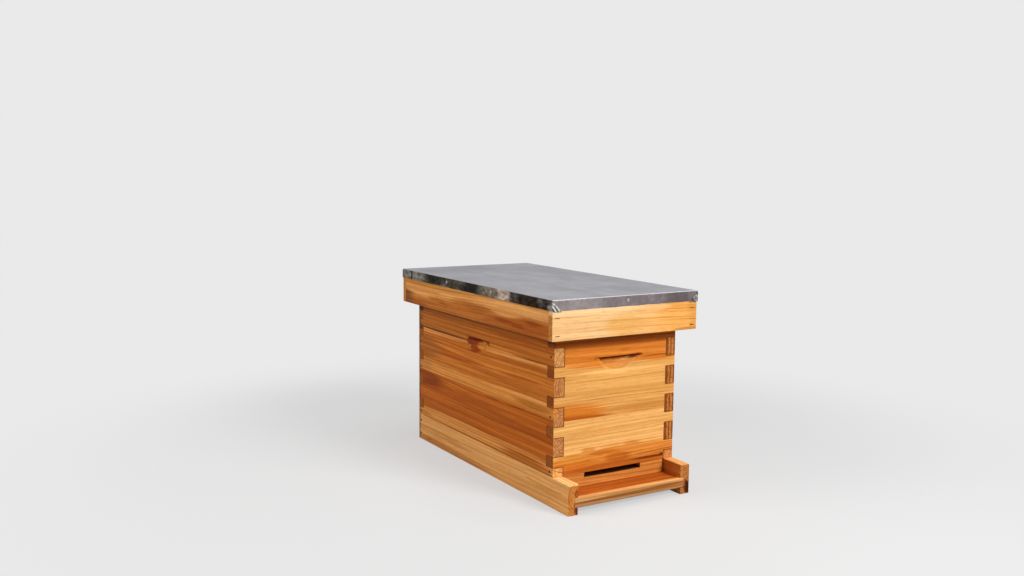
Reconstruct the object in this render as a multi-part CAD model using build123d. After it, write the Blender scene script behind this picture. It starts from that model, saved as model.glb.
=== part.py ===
from build123d import *
import math
import os

# Nucleus hive: a small wax-dipped beehive for five hanging frames. Millimetres, +Z up, front towards -Y,
# origin on the ground under the centre of the whole hive's box.

# Hanging frames, which set the inside of the box
FRAME_COUNT = 5
TOP_BAR_LENGTH = 482.6
TOP_BAR_WIDTH = 27.0
TOP_BAR_THICKNESS = 19.0
LUG_THICKNESS = 9.5
NECK_WIDTH = 22.0
FRAME_DEPTH = 232.0
END_BAR_WIDTH = 35.0
END_BAR_WAIST = 28.6
END_BAR_THICKNESS = 9.5
SHOULDER_DEPTH = 82.0
SHOULDER_SLOPE = 9.0
BOTTOM_BAR_WIDTH = 19.0
BOTTOM_BAR_THICKNESS = 9.5
FOUNDATION_THICKNESS = 2.6
FOUNDATION_SEAT = 4.0
FOUNDATION_PLAY = 0.4
FOUNDATION_END_GAP = 1.5

# Room round the frames
FRAME_GAP = 0.5
SIDE_SPACE = 16.75
END_SPACE = 8.5
LUG_PLAY = 0.7
SPACE_UNDER_FRAMES = 11.0

# Box boards, their finger joints and the rebate that the frame lugs rest in
BOARD = 20.0
REST_WIDTH = 9.5
REST_DEPTH = 15.5
FINGER_COUNT = 5
FRONT_FINGER = 18.2

# Scooped handhold: straight ledge on top, half-moon below, cut by eye and so a little off the middle
HAND_WIDTH = 91.0
HAND_HEIGHT = 28.5
HAND_DEPTH = 13.0
HAND_DROP = 56.5
HAND_UNDERCUT = 10.0
HAND_END_SHIFT = 3.5
HAND_SIDE_SHIFT = 6.0

# Floor: grooved side rails, crosswise boards in the grooves, a landing in front
RAIL_HEIGHT = 51.5
RAIL_THICKNESS = 19.0
RAIL_GROOVE = 6.0
FLOOR_THICKNESS = 17.5
ENTRANCE_SPACE = 22.7
LANDING = 46.5
FLOOR_BOARD_COUNT = 4
FLOOR_NOSE = 2.5
TONGUE_THICKNESS = 6.0
TONGUE_LENGTH = 6.0
TONGUE_PLAY = 0.4

# Entrance reducer: a loose bar with a wide notch on top and a narrow one in its back
REDUCER_DEPTH = 19.0
REDUCER_END_GAP = 2.5
REDUCER_PLAY = 0.4
NOTCH_WIDTH = 117.0
NOTCH_HEIGHT = 8.5
NOTCH_OFFSET = -4.0
SMALL_NOTCH_WIDTH = 20.0
SMALL_NOTCH_OFFSET = 78.0

# Inner cover: grooved rim round a thin panel
COVER_HEIGHT = 28.5
COVER_RIM = 20.0
COVER_PANEL = 6.0
COVER_GROOVE = 8.0
COVER_HOLE_LENGTH = 100.0
COVER_HOLE_WIDTH = 40.0
COVER_VENT_WIDTH = 25.0
COVER_VENT_HEIGHT = 8.0

# Telescoping lid: skirt of four boards, two planks in a rebate on top
LID_SIDE_GAP = 3.5
LID_END_GAP = 8.0
LID_BOARD = 19.0
LID_LAP = 11.5
LID_SKIRT = 46.4
LID_PLANK = 20.0
LID_REBATE = 9.5

# Galvanised sheet folded down over the lid
SHEET = 0.6
FLANGE = 18.0
EAR_LENGTH = 17.5
EAR_HANG = 1.5
TAB_LENGTH = 42.0

# Fasteners
BRAD = 1.4
FRAME_BRAD_LENGTH = 22.0
FRAME_BRAD_SPREAD = 11.0
COVER_BRAD_LENGTH = 35.0
COVER_BRAD_SPREAD = 16.0
NAIL_SHANK = 2.0
NAIL_HEAD = 3.2
NAIL_HEAD_THICKNESS = 1.2
NAIL_LENGTH = 45.0
NAILED_FINGERS = 2
STAPLE_CROWN = 9.0
STAPLE_LEG = 30.0
STAPLE_WIRE = 1.2
STAPLE_FROM_BOTTOM = 8.0
STAPLE_SPACING = 29.0
CLOUT_HEAD_DIAMETER = 6.0
CLOUT_HEAD_THICKNESS = 1.0
CLOUT_SHANK = 2.4
CLOUT_LENGTH = 15.0
CLOUT_FROM_EDGE = 9.5
CLOUT_SIDE_SPACING = 168.0
FLOOR_NAIL_FROM_BACK = 9.5
FLOOR_NAIL_SPREAD = 26.0

# Box, worked out from the frames
INNER_WIDTH = FRAME_COUNT * END_BAR_WIDTH + (FRAME_COUNT - 1) * FRAME_GAP + 2 * SIDE_SPACE
INNER_LENGTH = TOP_BAR_LENGTH + 2 * LUG_PLAY - 2 * REST_WIDTH
BOX_WIDTH = INNER_WIDTH + 2 * BOARD
BOX_LENGTH = INNER_LENGTH + 2 * BOARD
BOX_HEIGHT = REST_DEPTH - LUG_THICKNESS + FRAME_DEPTH + SPACE_UNDER_FRAMES
FINGER_PITCH = BOX_HEIGHT / FINGER_COUNT
FRAME_LENGTH = INNER_LENGTH - 2 * END_SPACE
FRAME_PITCH = END_BAR_WIDTH + FRAME_GAP

# Heights above the ground
FLOOR_TOP = RAIL_HEIGHT - ENTRANCE_SPACE
FLOOR_UNDERSIDE = FLOOR_TOP - FLOOR_THICKNESS
BOX_BOTTOM = RAIL_HEIGHT
BOX_TOP = BOX_BOTTOM + BOX_HEIGHT
FRAME_TOP = BOX_TOP - REST_DEPTH + LUG_THICKNESS
COVER_TOP = BOX_TOP + COVER_HEIGHT
LID_BOTTOM = COVER_TOP - LID_SKIRT
LID_TOP = COVER_TOP + LID_PLANK

# Plan sizes of the lid, and places along the hive
LID_WIDTH = BOX_WIDTH + 2 * (LID_SIDE_GAP + LID_BOARD)
LID_LENGTH = BOX_LENGTH + 2 * (LID_END_GAP + LID_BOARD)
BACK_REACH = LID_END_GAP + LID_BOARD + SHEET + CLOUT_HEAD_THICKNESS
BOX_CENTRE = (LANDING - BACK_REACH) / 2
BOX_FRONT = BOX_CENTRE - BOX_LENGTH / 2
BOX_BACK = BOX_CENTRE + BOX_LENGTH / 2
FLOOR_FRONT = BOX_FRONT - LANDING
LID_FRONT = BOX_CENTRE - LID_LENGTH / 2
LID_BACK = BOX_CENTRE + LID_LENGTH / 2

SIDES = (-1, 1)
QUARTER_TURN = 90
HALF_TURN = 180


def upright(sketch, depth, place):
    """Extrude a sketch drawn in X and Z evenly to both sides along Y, about the given place."""
    return Pos(*place) * extrude(Plane.XZ * sketch, depth / 2, both=True)


def lengthwise(sketch, width, place):
    """Extrude a sketch drawn in Y and Z evenly to both sides along X, about the given place."""
    return Pos(*place) * extrude(Plane.YZ * sketch, width / 2, both=True)


def block(width, depth, height, place):
    """A squared block standing on the given place."""
    return Pos(*place) * extrude(Rectangle(width, depth), height)


def without(piece, cutters):
    """The piece with every cutter taken out of it."""
    for cutter in cutters:
        piece = piece - cutter
    return piece


# Fasteners, each made at the origin with its head at z = 0 and its point downwards


def brad(length):
    return block(BRAD, BRAD, -length, (0, 0, 0))


def nail():
    shank = block(NAIL_SHANK, NAIL_SHANK, -NAIL_LENGTH, (0, 0, 0))
    return shank + block(NAIL_HEAD, NAIL_HEAD, -NAIL_HEAD_THICKNESS, (0, 0, 0))


def staple():
    outline = Rectangle(STAPLE_CROWN, STAPLE_LEG, align=(Align.CENTER, Align.MAX))
    inside = Rectangle(STAPLE_CROWN - 2 * STAPLE_WIRE, STAPLE_LEG, align=(Align.CENTER, Align.MAX))
    return upright(outline - Pos(0, -STAPLE_WIRE) * inside, STAPLE_WIRE, (0, 0, 0))


def clout():
    """Roofing nail: its round head lies on the sheet and its square shank goes through it."""
    head = extrude(Circle(CLOUT_HEAD_DIAMETER / 2), CLOUT_HEAD_THICKNESS)
    return head + block(CLOUT_SHANK, CLOUT_SHANK, -CLOUT_LENGTH, (0, 0, 0))


def driven_from_side(fastener, side, y, z, surface):
    """The fastener driven inwards through the left (-1) or right (1) face that lies at the given reach."""
    return Pos(side * surface, y, z) * Rot(0, side * QUARTER_TURN, 0) * fastener


def driven_from_end(fastener, end, x, y, z):
    """The fastener driven inwards through the front (-1) or back (1) face at y."""
    return Pos(x, y, z) * Rot(-end * QUARTER_TURN, 0, 0) * fastener


# Box


def finger_heights():
    """Middle height of each finger of the front and back boards."""
    return [BOX_BOTTOM + (step + 0.5) * FINGER_PITCH for step in range(FINGER_COUNT)]


def handhold(turn, x, y):
    """Cutter for a scoop: a ball that dips into the board and leaves a half-moon, cut off along an undercut
    ledge. The half-moon's arc is centred above the ledge, and the ball some way out from the board."""
    arc_radius = ((HAND_WIDTH / 2) ** 2 + HAND_HEIGHT ** 2) / (2 * HAND_HEIGHT)
    rise = arc_radius - HAND_HEIGHT
    away = (arc_radius ** 2 - rise ** 2 - HAND_DEPTH ** 2) / (2 * HAND_DEPTH)
    ball = Pos(0, -away, rise) * Sphere(math.hypot(away, arc_radius))
    slope = math.radians(HAND_UNDERCUT)
    ledge = Plane(origin=(0, 0, 0), x_dir=(1, 0, 0), z_dir=(0, -math.sin(slope), math.cos(slope)))
    scoop = split(ball, bisect_by=ledge, keep=Keep.BOTTOM)
    return Pos(x, y, BOX_TOP - HAND_DROP) * Rot(0, 0, turn) * scoop


def box_nails():
    """Nails through the side boards' fingers into the ends of the front and back boards: one through the
    half finger at the bottom, and one through every so many fingers above it."""
    half_finger = (FINGER_PITCH - FRONT_FINGER) / 2
    heights = [BOX_BOTTOM + half_finger / 2]
    for step in range(NAILED_FINGERS, FINGER_COUNT, NAILED_FINGERS):
        heights.append(BOX_BOTTOM + step * FINGER_PITCH)
    nails = []
    for side in SIDES:
        for end in SIDES:
            y = BOX_CENTRE + end * (BOX_LENGTH - BOARD) / 2
            nails += [driven_from_side(nail(), side, y, z, BOX_WIDTH / 2) for z in heights]
    return nails


def box_end(end, nails):
    """Front (-1) or back (1) board: fingers at both ends, a rebate inside on top, a handhold outside."""
    outline = Rectangle(INNER_WIDTH, BOX_HEIGHT)
    for height in finger_heights():
        outline += Pos(0, height - BOX_BOTTOM - BOX_HEIGHT / 2) * Rectangle(BOX_WIDTH, FRONT_FINGER)
    middle = BOX_CENTRE + end * (BOX_LENGTH - BOARD) / 2
    board = upright(outline, BOARD, (0, middle, BOX_BOTTOM + BOX_HEIGHT / 2))
    rest_middle = BOX_CENTRE + end * (INNER_LENGTH + REST_WIDTH) / 2
    board -= block(BOX_WIDTH, REST_WIDTH, REST_DEPTH, (0, rest_middle, BOX_TOP - REST_DEPTH))
    board -= handhold(0 if end < 0 else HALF_TURN, HAND_END_SHIFT, BOX_CENTRE + end * BOX_LENGTH / 2)
    return without(board, nails)


def box_side(side, nails):
    """Left (-1) or right (1) board: notched at both ends for the front and back boards' fingers."""
    outline = Rectangle(BOX_LENGTH, BOX_HEIGHT)
    for height in finger_heights():
        for end in SIDES:
            notch = Rectangle(BOARD, FRONT_FINGER)
            outline -= Pos(end * (BOX_LENGTH - BOARD) / 2, height - BOX_BOTTOM - BOX_HEIGHT / 2) * notch
    place = (side * (BOX_WIDTH - BOARD) / 2, BOX_CENTRE, BOX_BOTTOM + BOX_HEIGHT / 2)
    board = lengthwise(outline, BOARD, place)
    board -= handhold(side * QUARTER_TURN, side * BOX_WIDTH / 2, BOX_CENTRE + HAND_SIDE_SHIFT)
    return without(board, nails)


# Floor


def floor_rail(side):
    """Side rail, as long as the box and the landing, with a groove inside for the floor boards."""
    outline = Rectangle(RAIL_THICKNESS, RAIL_HEIGHT, align=(Align.CENTER, Align.MIN))
    groove = Rectangle(RAIL_GROOVE, FLOOR_THICKNESS, align=(Align.CENTER, Align.MIN))
    outline -= Pos(-side * (RAIL_THICKNESS - RAIL_GROOVE) / 2, FLOOR_UNDERSIDE) * groove
    length = BOX_BACK - FLOOR_FRONT
    return upright(outline, length, (side * (BOX_WIDTH - RAIL_THICKNESS) / 2, FLOOR_FRONT + length / 2, 0))


def floor_rail_back():
    """Back rail between the side rails, grooved for the last floor board."""
    outline = Rectangle(RAIL_THICKNESS, RAIL_HEIGHT, align=(Align.CENTER, Align.MIN))
    groove = Rectangle(RAIL_GROOVE, FLOOR_THICKNESS, align=(Align.CENTER, Align.MIN))
    outline -= Pos(-(RAIL_THICKNESS - RAIL_GROOVE) / 2, FLOOR_UNDERSIDE) * groove
    return lengthwise(outline, BOX_WIDTH - 2 * RAIL_THICKNESS, (0, BOX_BACK - RAIL_THICKNESS / 2, 0))


def tongued(width, thickness, groove_in_front, tongue_behind):
    """Cross-section of a board from its front edge at 0: groove in that edge, tongue on the back one."""
    outline = Rectangle(width, thickness, align=(Align.MIN, Align.CENTER))
    if groove_in_front:
        groove = Rectangle(TONGUE_LENGTH + TONGUE_PLAY, TONGUE_THICKNESS + 2 * TONGUE_PLAY)
        outline -= Pos((TONGUE_LENGTH + TONGUE_PLAY) / 2, 0) * groove
    if tongue_behind:
        outline += Pos(width + TONGUE_LENGTH / 2, 0) * Rectangle(TONGUE_LENGTH, TONGUE_THICKNESS)
    return outline


def floor_boards():
    """Crosswise boards from the landing to the back rail, the first one with a rounded nose."""
    run = BOX_BACK - RAIL_THICKNESS + RAIL_GROOVE - FLOOR_FRONT
    width = run / FLOOR_BOARD_COUNT
    boards = []
    for step in range(FLOOR_BOARD_COUNT):
        outline = tongued(width, FLOOR_THICKNESS, step > 0, step < FLOOR_BOARD_COUNT - 1)
        if step == 0:
            nose = outline.vertices().group_by(Axis.X)[0]
            outline = fillet(nose, FLOOR_NOSE)
        place = (0, FLOOR_FRONT + step * width, FLOOR_UNDERSIDE + FLOOR_THICKNESS / 2)
        boards.append(lengthwise(outline, BOX_WIDTH - 2 * (RAIL_THICKNESS - RAIL_GROOVE), place))
    return boards


def floor_nails():
    """Nails through the side rails into the ends of the back rail."""
    y = BOX_BACK - FLOOR_NAIL_FROM_BACK
    heights = [(RAIL_HEIGHT + step * FLOOR_NAIL_SPREAD) / 2 for step in SIDES]
    return [driven_from_side(nail(), side, y, z, BOX_WIDTH / 2) for side in SIDES for z in heights]


def entrance_reducer():
    """Bar lying on the floor under the box front. The notch on top is the entrance, and the narrow one in
    its back takes its place when the bar is turned over."""
    height = ENTRANCE_SPACE - REDUCER_PLAY
    outline = Rectangle(BOX_WIDTH - 2 * (RAIL_THICKNESS + REDUCER_END_GAP), height)
    outline -= Pos(NOTCH_OFFSET, (height - NOTCH_HEIGHT) / 2) * Rectangle(NOTCH_WIDTH, NOTCH_HEIGHT)
    bar = upright(outline, REDUCER_DEPTH, (0, BOX_FRONT + REDUCER_DEPTH / 2, FLOOR_TOP + height / 2))
    notch_middle = BOX_FRONT + REDUCER_DEPTH - NOTCH_HEIGHT / 2
    notch_place = (SMALL_NOTCH_OFFSET, notch_middle, FLOOR_TOP)
    return bar - block(SMALL_NOTCH_WIDTH, NOTCH_HEIGHT, height, notch_place)


# Frames, made about x = 0 and y = 0 with the top of the top bar at z = 0

FRAME_INSIDE = FRAME_LENGTH - 2 * END_BAR_THICKNESS
FOUNDATION_GROOVE = FOUNDATION_THICKNESS + 2 * FOUNDATION_PLAY


def frame_brads():
    """Two brads through each lug's neck and two through each end of the bottom bar, into the end bars."""
    y = (FRAME_LENGTH - END_BAR_THICKNESS) / 2
    brads = []
    for end in SIDES:
        for step in SIDES:
            x = step * FRAME_BRAD_SPREAD / 2
            brads.append(Pos(x, end * y, 0) * brad(FRAME_BRAD_LENGTH))
            brads.append(Pos(x, end * y, -FRAME_DEPTH) * Rot(HALF_TURN, 0, 0) * brad(FRAME_BRAD_LENGTH))
    return brads


def top_bar(brads):
    """Bar with thin lugs at its ends, necked where the end bars fork round it, grooved underneath."""
    top = (Align.CENTER, Align.MAX)
    outline = Rectangle(TOP_BAR_LENGTH, LUG_THICKNESS, align=top)
    outline += Rectangle(FRAME_INSIDE, TOP_BAR_THICKNESS, align=top)
    bar = lengthwise(outline, TOP_BAR_WIDTH, (0, 0, 0))
    cheeks = Rectangle(TOP_BAR_WIDTH, END_BAR_THICKNESS) - Rectangle(NECK_WIDTH, END_BAR_THICKNESS)
    for end in SIDES:
        y = end * (FRAME_LENGTH - END_BAR_THICKNESS) / 2
        bar -= Pos(0, y, 0) * extrude(cheeks, -LUG_THICKNESS)
    bar -= block(FOUNDATION_GROOVE, FRAME_INSIDE, FOUNDATION_SEAT, (0, 0, -TOP_BAR_THICKNESS))
    return without(bar, brads)


def end_bar(end, brads):
    """Self-spacing end bar: broad shoulders against the next frame, a waist below, forks at both ends."""
    shoulder = END_BAR_WIDTH / 2
    waist = END_BAR_WAIST / 2
    outline = Polygon(
        (-shoulder, 0),
        (shoulder, 0),
        (shoulder, -SHOULDER_DEPTH),
        (waist, -SHOULDER_DEPTH - SHOULDER_SLOPE),
        (waist, -FRAME_DEPTH),
        (-waist, -FRAME_DEPTH),
        (-waist, -SHOULDER_DEPTH - SHOULDER_SLOPE),
        (-shoulder, -SHOULDER_DEPTH),
        align=None,
    )
    outline -= Rectangle(NECK_WIDTH, LUG_THICKNESS, align=(Align.CENTER, Align.MAX))
    foot = Rectangle(BOTTOM_BAR_WIDTH, BOTTOM_BAR_THICKNESS, align=(Align.CENTER, Align.MIN))
    outline -= Pos(0, -FRAME_DEPTH) * foot
    bar = upright(outline, END_BAR_THICKNESS, (0, end * (FRAME_LENGTH - END_BAR_THICKNESS) / 2, 0))
    return without(bar, brads)


def bottom_bar(brads):
    """Bar let into the feet of the end bars, grooved on top for the foundation."""
    outline = Rectangle(BOTTOM_BAR_WIDTH, BOTTOM_BAR_THICKNESS, align=(Align.CENTER, Align.MAX))
    outline -= Rectangle(FOUNDATION_GROOVE, FOUNDATION_SEAT, align=(Align.CENTER, Align.MAX))
    bar = upright(outline, FRAME_LENGTH, (0, 0, BOTTOM_BAR_THICKNESS - FRAME_DEPTH))
    return without(bar, brads)


def foundation():
    """Sheet of comb foundation standing in the groove of the bottom bar, with play in the top bar's."""
    lowest = BOTTOM_BAR_THICKNESS - FRAME_DEPTH - FOUNDATION_SEAT
    highest = -TOP_BAR_THICKNESS + FOUNDATION_SEAT - FOUNDATION_PLAY
    length = FRAME_INSIDE - 2 * FOUNDATION_END_GAP
    return block(FOUNDATION_THICKNESS, length, highest - lowest, (0, 0, lowest))


# Inner cover

COVER_INSIDE_WIDTH = BOX_WIDTH - 2 * COVER_RIM
COVER_INSIDE_LENGTH = BOX_LENGTH - 2 * COVER_RIM


def cover_rim_outline(inward):
    """Cross-section of the rim with its groove, inward being the side of the groove: 1 or -1."""
    groove = Rectangle(COVER_GROOVE, COVER_PANEL)
    return Rectangle(COVER_RIM, COVER_HEIGHT) - Pos(inward * (COVER_RIM - COVER_GROOVE) / 2, 0) * groove


def cover_brads():
    """Brads through the front and back rims into the ends of the side rims."""
    brads = []
    for end in SIDES:
        for side in SIDES:
            for step in SIDES:
                x = side * (BOX_WIDTH - COVER_RIM) / 2
                z = BOX_TOP + (COVER_HEIGHT + step * COVER_BRAD_SPREAD) / 2
                y = BOX_CENTRE + end * BOX_LENGTH / 2
                brads.append(driven_from_end(brad(COVER_BRAD_LENGTH), end, x, y, z))
    return brads


def cover_end(end, brads):
    """Front (-1) or back (1) rim, over the whole width. The front one has a vent notch in its top edge."""
    place = (0, BOX_CENTRE + end * (BOX_LENGTH - COVER_RIM) / 2, BOX_TOP + COVER_HEIGHT / 2)
    rim = lengthwise(cover_rim_outline(-end), BOX_WIDTH, place)
    if end < 0:
        vent = (0, place[1], COVER_TOP - COVER_VENT_HEIGHT)
        rim -= block(COVER_VENT_WIDTH, COVER_RIM, COVER_VENT_HEIGHT, vent)
    return without(rim, brads)


def cover_side(side, brads):
    """Left (-1) or right (1) rim, between the front and back rims."""
    place = (side * (BOX_WIDTH - COVER_RIM) / 2, BOX_CENTRE, BOX_TOP + COVER_HEIGHT / 2)
    return without(upright(cover_rim_outline(-side), COVER_INSIDE_LENGTH, place), brads)


def cover_panel():
    """Thin panel held in the rim's groove, with an oval hole in the middle."""
    outline = Rectangle(COVER_INSIDE_WIDTH + 2 * COVER_GROOVE, COVER_INSIDE_LENGTH + 2 * COVER_GROOVE)
    outline -= SlotOverall(COVER_HOLE_LENGTH, COVER_HOLE_WIDTH, rotation=QUARTER_TURN)
    return Pos(0, BOX_CENTRE, BOX_TOP + (COVER_HEIGHT - COVER_PANEL) / 2) * extrude(outline, COVER_PANEL)


# Lid

PLANKING_WIDTH = LID_WIDTH - 2 * (LID_BOARD - LID_REBATE)
PLANKING_LENGTH = LID_LENGTH - 2 * (LID_BOARD - LID_REBATE)


def planking_space():
    """Room that the planks take up in the rebate round the top of the skirt."""
    return block(PLANKING_WIDTH, PLANKING_LENGTH, LID_PLANK, (0, BOX_CENTRE, COVER_TOP))


def lid_staples():
    """Staples through the laps of the front and back boards into the ends of the side boards."""
    heights = [LID_BOTTOM + STAPLE_FROM_BOTTOM + step * STAPLE_SPACING for step in range(2)]
    staples = []
    for end in SIDES:
        for side in SIDES:
            for z in heights:
                x = side * (LID_WIDTH - LID_BOARD) / 2
                y = BOX_CENTRE + end * LID_LENGTH / 2
                staples.append(driven_from_end(staple(), end, x, y, z))
    return staples


def lid_clouts():
    """Roofing nails through the sheet's flange into the skirt: one at each end, two along each side."""
    z = LID_TOP + SHEET - FLANGE + CLOUT_FROM_EDGE
    half_length = LID_LENGTH / 2 + SHEET
    clouts = [driven_from_end(clout(), end, 0, BOX_CENTRE + end * half_length, z) for end in SIDES]
    for side in SIDES:
        for step in SIDES:
            y = BOX_CENTRE + step * CLOUT_SIDE_SPACING / 2
            clouts.append(driven_from_side(clout(), side, y, z, LID_WIDTH / 2 + SHEET))
    return clouts


def lid_end(end, fasteners):
    """Front (-1) or back (1) skirt board, rebated at both ends so that it laps over the side boards."""
    inner = (Align.CENTER, Align.MIN)
    outline = Rectangle(LID_WIDTH, LID_LAP, align=inner)
    outline += Rectangle(LID_WIDTH - 2 * LID_BOARD, LID_BOARD, align=inner)
    turned = Rot(0, 0, 0 if end < 0 else HALF_TURN) * extrude(outline, LID_TOP - LID_BOTTOM)
    board = Pos(0, BOX_CENTRE + end * LID_LENGTH / 2, LID_BOTTOM) * turned
    return without(board - planking_space(), fasteners)


def lid_side(side, fasteners):
    """Left (-1) or right (1) skirt board, between the laps of the front and back boards."""
    place = (side * (LID_WIDTH - LID_BOARD) / 2, BOX_CENTRE, LID_BOTTOM)
    board = block(LID_BOARD, LID_LENGTH - 2 * LID_LAP, LID_TOP - LID_BOTTOM, place)
    return without(board - planking_space(), fasteners)


def lid_plank(side, fasteners):
    """Left (-1) or right (1) of the two lengthwise planks that fill the rebate, joined by a tongue."""
    width = PLANKING_WIDTH / 2
    outline = tongued(width, LID_PLANK, side > 0, side < 0)
    place = (-width if side < 0 else 0, BOX_CENTRE, COVER_TOP + LID_PLANK / 2)
    return without(upright(outline, PLANKING_LENGTH, place), fasteners)


def lid_sheet(clouts):
    """Sheet folded down on all sides. The front corners are folded into three-cornered ears that lie on the
    front flange, and the back flange's ends are wrapped round as tabs on the side flanges."""
    cap = Rectangle(LID_WIDTH + 2 * SHEET, LID_LENGTH + 2 * SHEET)
    sheet = Pos(0, BOX_CENTRE, LID_TOP) * extrude(cap, SHEET)
    flange_bottom = LID_TOP + SHEET - FLANGE
    sheet += Pos(0, BOX_CENTRE, flange_bottom) * extrude(cap - Rectangle(LID_WIDTH, LID_LENGTH), FLANGE)
    half_width = LID_WIDTH / 2 + SHEET
    for side in SIDES:
        ear = Polygon(
            (side * half_width, FLANGE),
            (side * half_width, -EAR_HANG),
            (side * (half_width - EAR_LENGTH), -EAR_HANG),
            align=None,
        )
        sheet += upright(ear, SHEET, (0, LID_FRONT - SHEET - SHEET / 2, flange_bottom))
        tab_place = (side * (half_width + SHEET / 2), LID_BACK + SHEET - TAB_LENGTH / 2, flange_bottom)
        sheet += block(SHEET, TAB_LENGTH, FLANGE, tab_place)
    return without(sheet, clouts)


def hive():
    """Every piece of the hive by its node name. Fasteners of one kind share a node."""
    pieces = {}

    pieces["floor_nails"] = floor_nails()
    for side, word in zip(SIDES, ("left", "right")):
        pieces["floor_rail_" + word] = without(floor_rail(side), pieces["floor_nails"])
    pieces["floor_rail_back"] = without(floor_rail_back(), pieces["floor_nails"])
    for number, board in enumerate(floor_boards(), start=1):
        pieces["floor_board_%d" % number] = board
    pieces["entrance_reducer"] = entrance_reducer()

    pieces["box_nails"] = box_nails()
    pieces["box_front"] = box_end(-1, pieces["box_nails"])
    pieces["box_back"] = box_end(1, pieces["box_nails"])
    pieces["box_left"] = box_side(-1, pieces["box_nails"])
    pieces["box_right"] = box_side(1, pieces["box_nails"])

    brads = frame_brads()
    frame = {
        "top_bar": [top_bar(brads)],
        "end_bar_front": [end_bar(-1, brads)],
        "end_bar_back": [end_bar(1, brads)],
        "bottom_bar": [bottom_bar(brads)],
        "foundation": [foundation()],
        "brads": brads,
    }
    for number in range(1, FRAME_COUNT + 1):
        place = Pos((number - (FRAME_COUNT + 1) / 2) * FRAME_PITCH, BOX_CENTRE, FRAME_TOP)
        for name, solids in frame.items():
            pieces["frame_%d_%s" % (number, name)] = [place * solid for solid in solids]

    pieces["inner_cover_brads"] = cover_brads()
    pieces["inner_cover_front"] = cover_end(-1, pieces["inner_cover_brads"])
    pieces["inner_cover_back"] = cover_end(1, pieces["inner_cover_brads"])
    pieces["inner_cover_left"] = cover_side(-1, pieces["inner_cover_brads"])
    pieces["inner_cover_right"] = cover_side(1, pieces["inner_cover_brads"])
    pieces["inner_cover_panel"] = cover_panel()

    pieces["lid_staples"] = lid_staples()
    pieces["lid_sheet_nails"] = lid_clouts()
    fasteners = pieces["lid_staples"] + pieces["lid_sheet_nails"]
    pieces["lid_front"] = lid_end(-1, fasteners)
    pieces["lid_back"] = lid_end(1, fasteners)
    pieces["lid_left"] = lid_side(-1, fasteners)
    pieces["lid_right"] = lid_side(1, fasteners)
    pieces["lid_plank_left"] = lid_plank(-1, fasteners)
    pieces["lid_plank_right"] = lid_plank(1, fasteners)
    pieces["lid_sheet"] = lid_sheet(pieces["lid_sheet_nails"])
    return pieces


os.makedirs("parts", exist_ok=True)
for node, piece in hive().items():
    solids = piece if isinstance(piece, list) else [piece]
    export_step(Compound(solids) if len(solids) > 1 else solids[0], os.path.join("parts", node + ".step"))
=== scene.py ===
import math

import bmesh
import bpy
from mathutils import Euler, Matrix, Vector, noise


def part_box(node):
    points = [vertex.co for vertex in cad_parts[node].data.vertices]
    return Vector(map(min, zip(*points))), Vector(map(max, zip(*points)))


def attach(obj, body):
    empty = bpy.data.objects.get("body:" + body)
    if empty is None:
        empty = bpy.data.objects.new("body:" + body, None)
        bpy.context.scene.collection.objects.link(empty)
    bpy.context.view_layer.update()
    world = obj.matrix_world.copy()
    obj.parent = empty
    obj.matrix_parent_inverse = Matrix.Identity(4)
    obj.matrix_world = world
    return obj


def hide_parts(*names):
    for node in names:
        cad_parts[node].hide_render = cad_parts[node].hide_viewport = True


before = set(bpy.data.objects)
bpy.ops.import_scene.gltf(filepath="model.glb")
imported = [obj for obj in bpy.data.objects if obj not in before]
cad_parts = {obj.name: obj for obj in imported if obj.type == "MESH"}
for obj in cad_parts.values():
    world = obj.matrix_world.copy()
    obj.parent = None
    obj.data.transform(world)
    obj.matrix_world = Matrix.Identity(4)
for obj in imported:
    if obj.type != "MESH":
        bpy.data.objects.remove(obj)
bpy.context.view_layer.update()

# Floor rails
# Two side rails and a back rail of planed fir, ploughed on the inside for the floor boards.
# They were dipped in hot wax, so the long grain is satin and the thirsty end grain is darker.


def fill(tree, inputs, values):
    """Fills a node's inputs, each from a value or from another node's output."""
    for key, value in values.items():
        if isinstance(value, bpy.types.NodeSocket):
            tree.links.new(value, inputs[key])
        else:
            inputs[key].default_value = value


def add_node(tree, kind, settings, inputs):
    """A new node with its settings made and its inputs filled."""
    made = tree.nodes.new(kind)
    for key, value in settings.items():
        setattr(made, key, value)
    fill(tree, made.inputs, inputs)
    return made


def calc(tree, operation, *values):
    """One operation on as many numbers as it takes."""
    return add_node(tree, "ShaderNodeMath", {"operation": operation}, dict(enumerate(values))).outputs[0]


def calc_vector(tree, operation, *values):
    """One operation on vectors. Lengths and dot products give a number, and the others a vector."""
    made = add_node(tree, "ShaderNodeVectorMath", {"operation": operation}, dict(enumerate(values)))
    return made.outputs["Value" if operation in ("LENGTH", "DOT_PRODUCT") else "Vector"]


def scaled(tree, vector, share):
    """A vector or colour, stronger or weaker by one share."""
    made = add_node(tree, "ShaderNodeVectorMath", {"operation": "SCALE"}, {0: vector, "Scale": share})
    return made.outputs["Vector"]


def eased(tree, value, start, end, low=0.0, high=1.0):
    """The value spread smoothly from low to high while it goes from start to end."""
    inputs = {"Value": value, "From Min": start, "From Max": end, "To Min": low, "To Max": high}
    return add_node(tree, "ShaderNodeMapRange", {"interpolation_type": "SMOOTHSTEP"}, inputs).outputs[0]


def blended(tree, share, first, second, way="MIX"):
    """Two colours mixed, each a tone or another node's output."""
    sides = [tone + (1.0,) if isinstance(tone, tuple) else tone for tone in (first, second)]
    settings = {"data_type": "RGBA", "blend_type": way}
    return add_node(tree, "ShaderNodeMix", settings, {0: share, 6: sides[0], 7: sides[1]}).outputs[2]


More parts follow.
